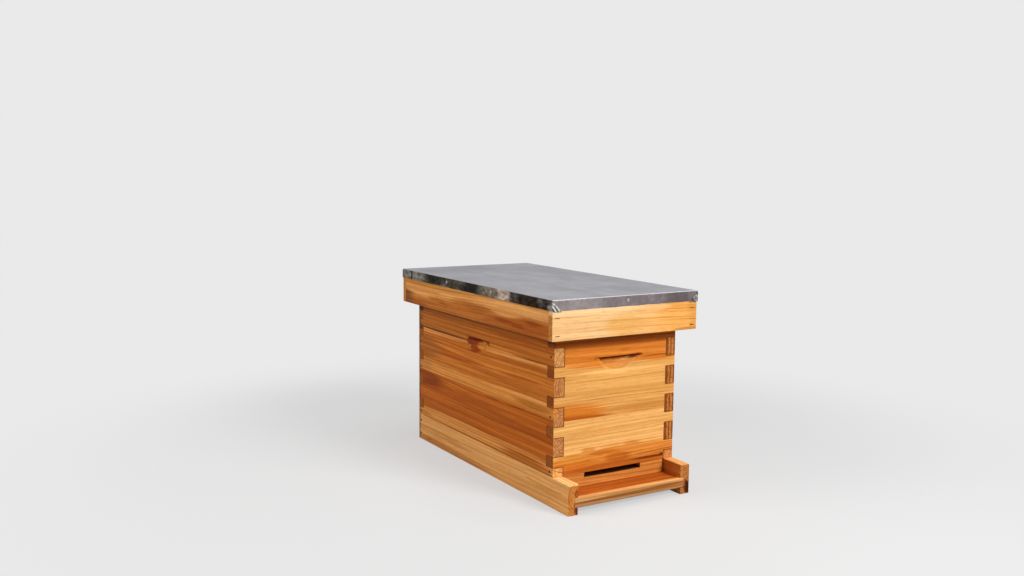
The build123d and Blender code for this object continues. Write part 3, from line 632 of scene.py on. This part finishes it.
glued_board("box_left", Vector((left_x - ball_away, HAND_Y, LEDGE + ball_rise)), side_seams, [
    fir("left_lower_fir", "y", (left_x + 0.035, 0.0, 0.127), 0.0645, sap=(0.90, 0.38, 0.094),
        heartwood=(0.66, 0.178, 0.018), figure=1.0, ends=(0.58, 0.26, 0.099), patches=lower_left_tones),
    fir("left_middle_fir", "y", (left_x + 0.032, 0.0, 0.197), 0.0425, sap=SIDE_SAP, figure=1.0,
        ends=(0.58, 0.25, 0.085), patches=middle_left_tones + left_hand_tone_and_shade),
    fir("left_upper_fir", "y", (left_x + 0.07, 0.0, 0.215), 0.100, sap=SIDE_SAP,
        heartwood=(0.71, 0.238, 0.034), lean=(0.0, -0.01), figure=1.0, ends=(0.66, 0.33, 0.12),
        patches=upper_left_tones + left_hand_tone_and_shade),
])

RIGHT_ENDS = (0.53, 0.20, 0.053)
STRIPE = (0.25, 0.072, 0.013)
# Painted shade under the right handhold's ledge.
right_hand_shade = [((right_x - 0.0125, HAND_Y, LEDGE - 0.001), (0.0105, 0.05, 0.007), HAND_SHADE)]
right_stripes = [((right_x - deep, front_y, 0.17), (half, 0.003, 0.6), STRIPE)
                 for deep, half in ((0.0178, 0.0035), (0.0095, 0.0014), (0.0015, 0.0022))]
bottom_finger_tone = ((right_x - 0.01, front_y, 0.057), (0.02, 0.003, 0.013), (0.68, 0.27, 0.09))
glued_board("box_right", Vector((right_x + ball_away, HAND_Y, LEDGE + ball_rise)), side_seams, [
    fir("right_lower_fir", "y", (right_x + 0.08, 0.0, 0.090), 0.09, sap=SIDE_SAP, ends=RIGHT_ENDS, figure=1.0,
        patches=right_stripes + [bottom_finger_tone]),
    fir("right_middle_fir", "y", (right_x + 0.09, 0.0, 0.180), 0.10, sap=SIDE_SAP,
        heartwood=(0.62, 0.155, 0.014), lean=(0.0, -0.012), ends=RIGHT_ENDS, figure=1.0,
        patches=right_stripes + right_hand_shade),
    fir("right_upper_fir", "y", (right_x + 0.08, 0.0, 0.285), 0.100, sap=SIDE_SAP, lean=(0.0, 0.01),
        ends=RIGHT_ENDS, figure=1.0, patches=right_stripes + right_hand_shade),
])

# Box nails
# Wire nails like those of the floor, driven through the side boards' fingers into the ends of the front
# and back boards.

driven_nails("box_nails", "hive_box", NAIL_HEAD, NAIL_PROUD)

# Frames
# Five hanging frames of bare planed pine, each a top bar with lugs, two self-spacing end bars and a bottom
# bar, pinned with brads. Each holds a sheet of foundation: plastic pressed with the pattern of cells and
# coated with wax.

PINE_SAP = (0.82, 0.56, 0.28)
PINE_HEART = (0.76, 0.45, 0.18)
PINE_ENDS = (0.70, 0.44, 0.20)
WAX_DARK = (0.74, 0.44, 0.08)
WAX_PALE = (0.84, 0.58, 0.17)
WAX_WALL = (0.92, 0.72, 0.34)
CELL = 0.0054
CELL_RELIEF = 0.0006
FRAME_ARRIS = 0.0005
FOUNDATION_ARRIS = 0.0003
BRAD_HEAD = 0.0011
BRAD_PROUD = 0.0001
HALF_FRAME = 0.1


def pine(name, grain, pith):
    """Bare planed pine with narrow rings."""
    return fir(name, grain, pith, 0.05, PINE_SAP, PINE_HEART, lean=(0.03, 0.02), ring=0.0028, wander=0.01,
               ends=PINE_ENDS, rough=0.55)


def comb_wax(name):
    """Waxed foundation with six-sided cells, laid out as two rectangular grids whose nearer centre counts."""
    material, tree, finish, here = new_material(name)
    half = (1.0, 0.5, 0.5 * math.sqrt(3))
    other_half = tuple(-edge for edge in half)
    flat = calc_vector(tree, "DIVIDE", here["Object"], (1.0, CELL, CELL))
    walls = []
    for start in (flat, calc_vector(tree, "ADD", flat, half)):
        grid = calc_vector(tree, "WRAP", start, half, other_half)
        off = calc_vector(tree, "ABSOLUTE", calc_vector(tree, "MULTIPLY", grid, (0.0, 1.0, 1.0)))
        upright = calc_vector(tree, "DOT_PRODUCT", off, (0.0, 1.0, 0.0))
        slanted = calc_vector(tree, "DOT_PRODUCT", off, (0.0, 0.5, 0.5 * math.sqrt(3)))
        walls.append(calc(tree, "MAXIMUM", upright, slanted))
    wall = eased(tree, calc(tree, "MINIMUM", *walls), 0.30, 0.47)
    wax = grainy(tree, here["Object"], (0.02, 0.03, 0.03), 3.0)
    colour = blended(tree, wax, WAX_DARK, WAX_PALE)
    colour = blended(tree, calc(tree, "MULTIPLY", wall, 0.6), colour, WAX_WALL)
    bump = add_node(tree, "ShaderNodeBump", {}, {"Strength": 0.9, "Distance": CELL_RELIEF, "Height": wall})
    fill(tree, finish, {"Base Color": colour, "Roughness": eased(tree, wax, 0.3, 0.7, 0.42, 0.6),
                        "Normal": bump.outputs[0], "Subsurface Weight": 0.1,
                        "Subsurface Radius": (0.003, 0.002, 0.001)})
    return material


foundation_wax = comb_wax("foundation_wax")
for number in (1, 2, 3, 4, 5):
    body = "frame_%d" % number
    low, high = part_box(body + "_top_bar")
    middle = (low + high) / 2
    drift = 0.013 * (number - 3)
    board(body + "_top_bar", body,
          pine(body + "_top_pine", "y", (middle.x + drift, 0.0, low.z - 0.03)))
    for end in ("front", "back"):
        node = body + "_end_bar_" + end
        pith = (middle.x + drift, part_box(node)[0].y - 0.03 - drift, 0.0)
        board(node, body, pine(node + "_pine", "z", pith), FRAME_ARRIS)
    pith = (middle.x - drift, 0.0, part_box(body + "_bottom_bar")[0].z - 0.025)
    board(body + "_bottom_bar", body, pine(body + "_bottom_pine", "y", pith), FRAME_ARRIS)
    board(body + "_foundation", body, foundation_wax, FOUNDATION_ARRIS)
    driven_nails(body + "_brads", body, BRAD_HEAD, BRAD_PROUD, middle=middle.z - HALF_FRAME)

# Inner cover
# A rim of four grooved strips of fir round a thin panel with an oval hole, pinned at the corners with brads.
# It is laid loose on the box, under the lid.

for word, grain in (("front", "x"), ("back", "x"), ("left", "y"), ("right", "y")):
    node = "inner_cover_" + word
    low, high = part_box(node)
    middle = (low + high) / 2
    pith = (middle.x + 0.03, middle.y + 0.03, low.z - 0.04)
    board(node, "inner_cover", fir(node + "_fir", grain, pith, 0.06, lean=(0.02, 0.01)))
low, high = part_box("inner_cover_panel")
board("inner_cover_panel", "inner_cover",
      fir("inner_cover_panel_fir", "y", (0.02, 0.0, low.z - 0.16), 0.15, lean=(0.0, 0.02), ring=0.006,
          wander=0.03))
driven_nails("inner_cover_brads", "inner_cover", BRAD_HEAD, BRAD_PROUD)

# Lid boards
# A skirt of four fir boards lapped at the corners, with two planks let in flush on top.
# The front and back are pale sapwood, and the sides are browner, with a curly dark figure on the left one.

LID_SAP = (0.87, 0.53, 0.24)
LID_GOLD = (0.84, 0.40, 0.10)
LID_ENDS = (0.64, 0.26, 0.062)
LID_TAN = (0.84, 0.37, 0.10)
LID_PALE = (0.95, 0.445, 0.137)
LID_BROWN = (0.61, 0.20, 0.034)
LID_RED = (0.48, 0.125, 0.015)
LID_DARK = (0.38, 0.082, 0.007)
FIGURE_DEPTH = 0.03
low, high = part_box("lid_front")
lid_front_tones = [
    ((0.155, low.y, 0.31), (0.14, 0.05, 0.07), LID_GOLD),
    ((0.0, low.y, 0.300), (0.055, 0.05, 0.021), (0.78, 0.41, 0.12)),
    ((0.055, low.y, 0.327), (0.035, 0.03, 0.007), (0.92, 0.54, 0.23)),
    ((0.150, low.y, 0.31), (0.022, 0.05, 0.07), (0.74, 0.34, 0.08)),
    ((-0.07, low.y, 0.328), (0.12, 0.03, 0.007), (1.0, 0.67, 0.36)),
    ((0.13, low.y, 0.2845), (0.04, 0.03, 0.0035), (0.58, 0.24, 0.045)),
]
board("lid_front", "lid",
      fir("lid_front_fir", "x", (0.0, low.y + 0.05, high.z + 0.06), 0.03, sap=LID_SAP, lean=(0.0, 0.02),
          ring=0.0034, ends=LID_ENDS, figure=0.5, patches=lid_front_tones))
low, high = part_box("lid_back")
board("lid_back", "lid",
      fir("lid_back_fir", "x", (0.0, high.y - 0.05, high.z + 0.03), 0.06, sap=LID_SAP, lean=(0.0, 0.03),
          ends=LID_ENDS))
low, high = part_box("lid_left")
lid_left_figure_and_shade = [
    # Painted shadow of the flange along the top of the back half.
    (0.16, 0.327, 0.14, 0.006, (0.66, 0.28, 0.06)),
    (-0.16, 0.321, 0.15, 0.010, LID_PALE),
    (0.185, 0.3065, 0.065, 0.0045, LID_PALE),
    (0.09, 0.3150, 0.040, 0.0055, LID_PALE),
    (0.015, 0.299, 0.085, 0.0165, LID_BROWN),
    (0.13, 0.3005, 0.048, 0.006, (0.55, 0.175, 0.028)),
    (-0.030, 0.3055, 0.064, 0.0085, (0.52, 0.158, 0.024)),
    (0.22, 0.2865, 0.05, 0.005, (0.42, 0.13, 0.02)),
    (-0.200, 0.2960, 0.105, 0.0145, LID_RED),
    (-0.125, 0.3110, 0.055, 0.0085, (0.90, 0.40, 0.115)),
    (-0.12, 0.2965, 0.035, 0.0045, LID_DARK),
    (-0.165, 0.2935, 0.025, 0.004, LID_DARK),
    (-0.212, 0.3035, 0.028, 0.005, LID_DARK),
    # Painted shadow along the lower edge of the flange.
    (0.0, 0.3315, 0.6, 0.0028, (0.62, 0.29, 0.08)),
    (0.289, 0.295, 0.056, 0.021, (0.26, 0.088, 0.015)),
]
board("lid_left", "lid",
      fir("lid_left_fir", "y", (low.x + 0.03, 0.0, 0.252), 0.0592, LID_TAN, LID_BROWN, wander=0.02,
          patches=[((low.x, y, z), (FIGURE_DEPTH, along, tall), tone)
                   for y, z, along, tall, tone in lid_left_figure_and_shade]))
low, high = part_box("lid_right")
board("lid_right", "lid",
      fir("lid_right_fir", "y", (high.x - 0.03, 0.0, 0.255), 0.055, LID_TAN, LID_BROWN, lean=(0.0, -0.03),
          wander=0.03))
for side, word in ((-1, "left"), (1, "right")):
    node = "lid_plank_" + word
    pith = (side * 0.09, 0.0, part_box(node)[1].z + 0.05)
    board(node, "lid", fir("lid_plank_fir_" + word, "y", pith, 0.07, lean=(0.01, 0.02 * side)))

# Lid staples
# Staples of square steel wire through the laps of the front and back boards into the side boards.
# A staple gun has driven their crowns flush with the wood.

STAPLE_WIRE = 0.0012
staple_steel = steel("staple_steel", (0.12, 0.07, 0.04), 0.5)


def add_block(shape, middle, sizes):
    """A square block round the given middle."""
    place = Matrix.Translation(middle) @ Matrix.Diagonal(sizes + (1.0,))
    bmesh.ops.create_cube(shape, size=1.0, matrix=place)


shape = bmesh.new()
for low, high in solids_of("lid_staples"):
    middle = (low + high) / 2
    end = 1 if middle.y > 0 else -1
    crown_y = (high.y if end > 0 else low.y) - end * STAPLE_WIRE / 2
    leg_y = middle.y - end * STAPLE_WIRE / 2
    leg = (STAPLE_WIRE, high.y - low.y - STAPLE_WIRE, STAPLE_WIRE)
    add_block(shape, (middle.x, crown_y, middle.z), (high.x - low.x, STAPLE_WIRE, STAPLE_WIRE))
    for x in (low.x + STAPLE_WIRE / 2, high.x - STAPLE_WIRE / 2):
        add_block(shape, (x, leg_y, middle.z), leg)
ease_arrises(shape, STAPLE_WIRE / 5, 0.0)
new_piece("lid_staples_driven", shape, [staple_steel], "lid", ["lid_staples"])

# Lid sheet
# One sheet of galvanised steel, folded down over the skirt. The front corners are folded into three-cornered
# ears on the front flange, and the back flange's ends are wrapped round onto the sides.

SHEET = 0.0006
FLANGE = 0.018
FOLD_RADIUS = 0.0015
EAR_LENGTH = 0.0175
EAR_HANG = 0.0015
EAR_THICKNESS = SHEET * 0.7
EAR_OVER_SIDE = 0.0003
EAR_BEFORE_FLANGE = 0.0004
EAR_SLANT = 0.0001
TAB_LENGTH = 0.042
TAB_HEIGHT = FLANGE - 0.003
TAB_DROP = 0.001
TAB_THICKNESS = SHEET * 1.1
DENT = 0.0004
TOP_WAVES = 9.0
FLANGE_WAVES = 38.0
EDGE_WAVES = 60.0
EDGE_RIPPLE = 0.0006
DIMPLE = 0.0003
DIMPLE_WIDTH = 0.006
DIMPLE_REACH = 0.02
NEAR = 0.001
sheet_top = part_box("lid_sheet")[1].z
outer_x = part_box("lid_right")[1].x + SHEET
front_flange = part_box("lid_front")[0].y - SHEET
back_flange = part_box("lid_back")[1].y + SHEET
sheet_length = back_flange - front_flange
sheet_middle = (back_flange + front_flange) / 2
flange_middle = sheet_top - FLANGE / 2
flange_bottom = sheet_top - FLANGE
shape = bmesh.new()
add_block(shape, (0.0, sheet_middle, flange_middle), (2 * outer_x, sheet_length, FLANGE))
bmesh.ops.delete(shape, geom=[f for f in shape.faces if f.normal.z < -0.5], context="FACES_ONLY")
for axis, cuts in ((0, 27), (1, 51), (2, 3)):
    along = [e for e in shape.edges if abs((e.verts[0].co - e.verts[1].co).normalized()[axis]) > 0.9]
    bmesh.ops.subdivide_edges(shape, edges=along, cuts=cuts, use_grid_fill=True)
folds = [e for e in shape.edges if len(e.link_faces) == 2 and e.calc_face_angle() > 1.0]
bmesh.ops.bevel(shape, geom=folds, offset=FOLD_RADIUS, segments=4, profile=0.5, material=-1, affect="EDGES",
                clamp_overlap=True)
nail_places = [(low + high) / 2 for low, high in solids_of("lid_sheet_nails")]
for vert in shape.verts:
    drop = min(1.0, (sheet_top - vert.co.z) / FLANGE)
    if drop < 0.01:
        vert.co.z -= DENT * (0.5 + 0.5 * noise.noise(vert.co * TOP_WAVES))
        continue
    wave = noise.noise(vert.co * FLANGE_WAVES) * drop
    beside = abs(vert.co.x) > outer_x - NEAR
    dimple = 0.0
    for place in nail_places:
        off = vert.co - place
        if off.length < DIMPLE_REACH:
            dimple += math.exp(-(off.yz if beside else off.xz).length_squared / DIMPLE_WIDTH ** 2)
    out = DENT * (0.4 + wave) - DIMPLE * dimple
    if beside:
        vert.co.x += math.copysign(out, vert.co.x)
    if abs(vert.co.y - sheet_middle) > sheet_length / 2 - NEAR:
        vert.co.y += math.copysign(out, vert.co.y - sheet_middle)
    if drop > 0.99:
        vert.co.z += EDGE_RIPPLE * noise.noise(vert.co * EDGE_WAVES)
bmesh.ops.solidify(shape, geom=shape.faces[:], thickness=SHEET * 0.5)
for side in (-1, 1):
    others = set(shape.faces)
    corner = side * (outer_x + EAR_OVER_SIDE)
    ear_y = front_flange - EAR_BEFORE_FLANGE
    ear_bottom = flange_bottom - EAR_HANG
    ear = [shape.verts.new(co) for co in ((corner, ear_y, sheet_top - FOLD_RADIUS),
                                          (corner, ear_y, ear_bottom),
                                          (corner - side * EAR_LENGTH, ear_y - EAR_SLANT, ear_bottom))]
    grown = bmesh.ops.extrude_face_region(shape, geom=[shape.faces.new(ear)])
    bmesh.ops.translate(shape, verts=[v for v in grown["geom"] if isinstance(v, bmesh.types.BMVert)],
                        vec=(0.0, -EAR_THICKNESS, 0.0))
    for face in set(shape.faces) - others:
        face.material_index = 1
    tab = (side * (outer_x + SHEET * 0.5), back_flange - TAB_LENGTH / 2, flange_middle - TAB_DROP)
    add_block(shape, tab, (TAB_THICKNESS, TAB_LENGTH, TAB_HEIGHT))
bmesh.ops.recalc_face_normals(shape, faces=shape.faces)

FOLD_HIGHLIGHT = (0.52, 0.52, 0.53)
FLANGE_DARK = (0.024, 0.020, 0.017)
FLANGE_GREY = (0.16, 0.14, 0.12)
FLANGE_FRONT_LIT = (0.20, 0.167, 0.171)
# Pale and dark painted reflections on the left flange, with a painted shadow beside the wrapped tab.
left_flange_reflections = [
    (0.243, 0.062, (0.21, 0.19, 0.158)),
    (back_flange - TAB_LENGTH - 0.002, 0.003, (0.008, 0.007, 0.006)),
    (0.15, 0.04, (0.032, 0.029, 0.022)),
    (0.07, 0.03, (0.075, 0.064, 0.045)),
    (0.0, 0.025, FLANGE_DARK),
    (-0.07, 0.038, (0.18, 0.142, 0.105)),
    (-0.116, 0.025, (0.46, 0.36, 0.29)),
    (-0.20, 0.05, (0.030, 0.020, 0.014)),
]
flange_reflections = [((-outer_x, y, flange_bottom), (0.01, along, 0.05), tone)
                for y, along, tone in left_flange_reflections]
# Painted reflections at the front-left ear and on the front flange.
flange_reflections += [
    ((-outer_x, front_flange + 0.006, flange_bottom + 0.005), (0.003, 0.009, 0.006), (0.22, 0.19, 0.155)),
    ((-0.10, front_flange, flange_bottom), (0.055, 0.01, 0.05), (0.262, 0.228, 0.228)),
    ((0.105, front_flange, flange_bottom), (0.03, 0.01, 0.05), (0.138, 0.114, 0.117)),
]


def galvanised(name):
    """Galvanised sheet dulled by a film of oxide, with a faint spangle and mill streaks, and a painted
    highlight along the front fold."""
    material, tree, finish, here = new_material(name)
    place = here["Object"]
    spangle = add_node(tree, "ShaderNodeTexVoronoi", {}, {"Vector": place, "Scale": 75.0}).outputs["Color"]
    flake = calc_vector(tree, "DOT_PRODUCT", spangle, (0.33, 0.33, 0.33))
    streak = grainy(tree, place, (0.010, 0.30, 0.30))
    cloud = grainy(tree, place, (0.07, 0.10, 0.10), 3.0)
    tone = calc(tree, "ADD", eased(tree, flake, 0.1, 0.9, -0.012, 0.012),
                eased(tree, streak, 0.3, 0.7, 0.272, 0.305))
    tone = calc(tree, "ADD", tone, eased(tree, cloud, 0.3, 0.7, -0.03, 0.03))
    bluish = calc(tree, "MULTIPLY", tone, 1.06)
    zinc = add_node(tree, "ShaderNodeCombineColor", {}, {0: tone, 1: tone, 2: bluish}).outputs[0]
    # Painted highlight on the front fold, where the surface turns up and forward.
    upward = calc_vector(tree, "DOT_PRODUCT", here["Normal"], (0.0, 0.0, 1.0))
    ahead = calc_vector(tree, "DOT_PRODUCT", here["Normal"], (0.0, -1.0, 0.0))
    highlight_share = calc(tree, "MULTIPLY", eased(tree, upward, 0.3, 0.5), eased(tree, ahead, 0.1, 0.3))
    fill(tree, finish, {"Base Color": blended(tree, highlight_share, zinc, FOLD_HIGHLIGHT),
                        "Roughness": eased(tree, streak, 0.3, 0.7, 0.58, 0.66),
                        "Metallic": 0.5, "Specular IOR Level": 0.1})
    return material


def tarnished(name):
    """The folded-down flanges: zinc gone dark with oxide, with pale and dark painted reflections, a painted
    shadow beside the left tab, and the flange that faces forward painted lighter, as lit from the front.
    """
    material, tree, finish, here = new_material(name)
    place = here["Object"]
    ahead = calc_vector(tree, "DOT_PRODUCT", here["Normal"], (0.0, -1.0, 0.0))
    blotch = grainy(tree, place, (0.016, 0.022, 0.02), 4.0)
    marks = blended(tree, eased(tree, blotch, 0.3, 0.8), FLANGE_DARK, FLANGE_GREY)
    # The flange that faces forward is painted lighter, as lit from the front.
    marks = blended(tree, eased(tree, ahead, 0.5, 0.8), marks, FLANGE_FRONT_LIT)
    marks = patched(tree, marks, place, blotch, flange_reflections)
    fleck = eased(tree, grainy(tree, place, (0.007, 0.013, 0.006), 3.0), 0.3, 0.7, 0.55, 1.6)
    quiet = eased(tree, ahead, 0.5, 0.8, 1.0, 0.2)
    fleck = calc(tree, "MULTIPLY_ADD", calc(tree, "SUBTRACT", fleck, 1.0), quiet, 1.0)
    fill(tree, finish, {"Base Color": scaled(tree, marks, fleck),
                        "Roughness": eased(tree, blotch, 0.3, 0.7, 0.45, 0.34),
                        "Metallic": 1.0, "Specular Tint": (0.5, 0.5, 0.5, 1.0)})
    return material


def crumpled(name):
    """Zinc on the folded ears, painted with bright and dark facets as the reflections of a crumpled fold."""
    material, tree, finish, here = new_material(name)
    turned = add_node(tree, "ShaderNodeMapping", {},
                      {"Vector": here["Object"], "Rotation": (0.0, math.radians(40), 0.0)})
    facet = grainy(tree, turned.outputs[0], (0.0035, 0.0035, 0.012))
    # The ramp's bright and dark stops paint the facets' reflections.
    ramp = add_node(tree, "ShaderNodeValToRGB", {}, {0: facet})
    stops = ramp.color_ramp.elements
    tones = ((0.36, 0.05), (0.46, 0.16), (0.53, 0.24), (0.60, 0.62))
    for at, tone in tones[1:-1]:
        stops.new(at)
    for stop, (at, tone) in zip(stops, tones):
        stop.position = at
        stop.color = (tone, tone * 0.95, tone * 0.9, 1.0)
    fill(tree, finish, {"Base Color": ramp.outputs[0], "Roughness": eased(tree, facet, 0.3, 0.7, 0.32, 0.45),
                        "Metallic": 1.0})
    return material


for face in shape.faces:
    if face.material_index == 0 and abs(face.normal.z) < 0.3:
        face.material_index = 2
zinc_finishes = [galvanised("sheet_zinc"), crumpled("ear_zinc"), tarnished("flange_zinc")]
new_piece("lid_sheet_folded", shape, zinc_finishes, "lid", ["lid_sheet"])

# Sheet nails
# Short zinc-coated roofing nails with flat round heads pin the flange to the skirt.
# There is one at each end and there are two along each side.

CLOUT_HEAD = 0.003
CLOUT_PROUD = 0.0003
CLOUT_SUNK = 0.0006
clout_zinc = steel("zinc_nail", (0.5, 0.48, 0.45), 0.35)
driven_nails("lid_sheet_nails", "lid", CLOUT_HEAD, CLOUT_PROUD, clout_zinc, sunk=CLOUT_SUNK)

# Stage
# A pale floor that runs on into a pale background, with three soft lamps and a weak low one behind, so that
# the back is not dark.

ROOM = (0.82, 0.82, 0.82, 1.0)
FLOOR_LIT = (0.40, 0.40, 0.40)
FLOOR_SEEN = (0.68, 0.68, 0.68)
FLOOR_RADIUS = 40.0


def shows_room(tree):
    """1 for a ray that comes straight from the camera, off metal or through glass, and 0 for light on the
    hive."""
    ray = tree.nodes.new("ShaderNodeLightPath").outputs
    seen = calc(tree, "MAXIMUM", ray["Is Camera Ray"], ray["Is Glossy Ray"])
    return calc(tree, "MAXIMUM", seen, ray["Is Transmission Ray"])


stage_shape = bmesh.new()
bmesh.ops.create_circle(stage_shape, cap_ends=True, segments=96, radius=FLOOR_RADIUS)
stage_mesh = bpy.data.meshes.new("pale_floor")
stage_shape.to_mesh(stage_mesh)
stage_shape.free()
pale_floor = bpy.data.objects.new("pale_floor", stage_mesh)
bpy.context.scene.collection.objects.link(pale_floor)
floor_paint = bpy.data.materials.new("pale_floor_paint")
floor_paint.use_nodes = True
tree = floor_paint.node_tree
tree.nodes.clear()
place = tree.nodes.new("ShaderNodeTexCoord").outputs["Object"]
seen = shows_room(tree)
away = eased(tree, calc_vector(tree, "LENGTH", place), 0.45, 1.3)
lit = add_node(tree, "ShaderNodeBsdfDiffuse", {}, {"Color": blended(tree, seen, FLOOR_LIT, FLOOR_SEEN)})
glow = add_node(tree, "ShaderNodeEmission", {}, {"Color": ROOM, "Strength": 1.0})
even = calc(tree, "MULTIPLY", seen, eased(tree, away, 0.0, 1.0, 0.6, 1.0))
mix = add_node(tree, "ShaderNodeMixShader", {}, {0: even, 1: lit.outputs[0], 2: glow.outputs[0]})
add_node(tree, "ShaderNodeOutputMaterial", {}, {"Surface": mix.outputs[0]})
stage_mesh.materials.append(floor_paint)

world = bpy.data.worlds.new("pale_room")
bpy.context.scene.world = world
world.use_nodes = True
tree = world.node_tree
tree.nodes.clear()
strength = eased(tree, shows_room(tree), 0.0, 1.0, 0.12, 1.0)
sky = add_node(tree, "ShaderNodeBackground", {}, {"Color": ROOM, "Strength": strength})
add_node(tree, "ShaderNodeOutputWorld", {}, {"Surface": sky.outputs[0]})


def soft_lamp(name, place, aim, size, power):
    """A round lamp that shines from its place towards its aim."""
    lamp = bpy.data.lights.new(name, "AREA")
    lamp.shape = "DISK"
    lamp.size = size
    lamp.energy = power
    lamp_object = bpy.data.objects.new(name, lamp)
    lamp_object.location = place
    lamp_object.rotation_euler = (Vector(aim) - Vector(place)).to_track_quat("-Z", "Y").to_euler()
    lamp_object.visible_camera = False
    bpy.context.scene.collection.objects.link(lamp_object)


soft_lamp("front_lamp", (0.75, -2.45, 1.6), (0.0, -0.1, 0.15), 1.2, 78.0)
soft_lamp("top_lamp", (0.3, -0.4, 2.7), (0.0, 0.0, 0.2), 1.6, 21.0)
soft_lamp("left_lamp", (-2.2, 0.4, 1.55), (0.0, 0.0, 0.15), 1.4, 33.5)
soft_lamp("back_lamp", (0.9, 2.4, 0.2), (0.0, 0.2, 0.2), 0.28, 18.0)

# Camera
# It stands about two metres away, ahead of the hive and to its left, and looks down a little.
# Its place and its lens were fitted to corners of the hive in the photograph.

PICTURE_WIDTH = 1024
FOCAL_PIXELS = 1011.24
SENSOR_WIDTH = 36.0
CAMERA_PLACE = (-1.00712, -1.58892, 0.55435)
CAMERA_TURN = math.radians(-30.77)
CAMERA_TILT = math.radians(90 - 6.75)
CAMERA_ROLL = math.radians(0.52)
camera_data = bpy.data.cameras.new("camera")
camera_data.sensor_width = SENSOR_WIDTH
camera_data.lens = FOCAL_PIXELS / PICTURE_WIDTH * SENSOR_WIDTH
camera_data.clip_end = 5 * FLOOR_RADIUS
camera = bpy.data.objects.new("camera", camera_data)
bpy.context.scene.collection.objects.link(camera)
bpy.context.scene.camera = camera
turned = Matrix.Rotation(CAMERA_TURN, 4, "Z")
tilted = Matrix.Rotation(CAMERA_TILT, 4, "X")
rolled = Matrix.Rotation(CAMERA_ROLL, 4, "Z")
camera.matrix_world = Matrix.Translation(CAMERA_PLACE) @ turned @ tilted @ rolled

bpy.context.scene.view_settings.view_transform = "Standard"
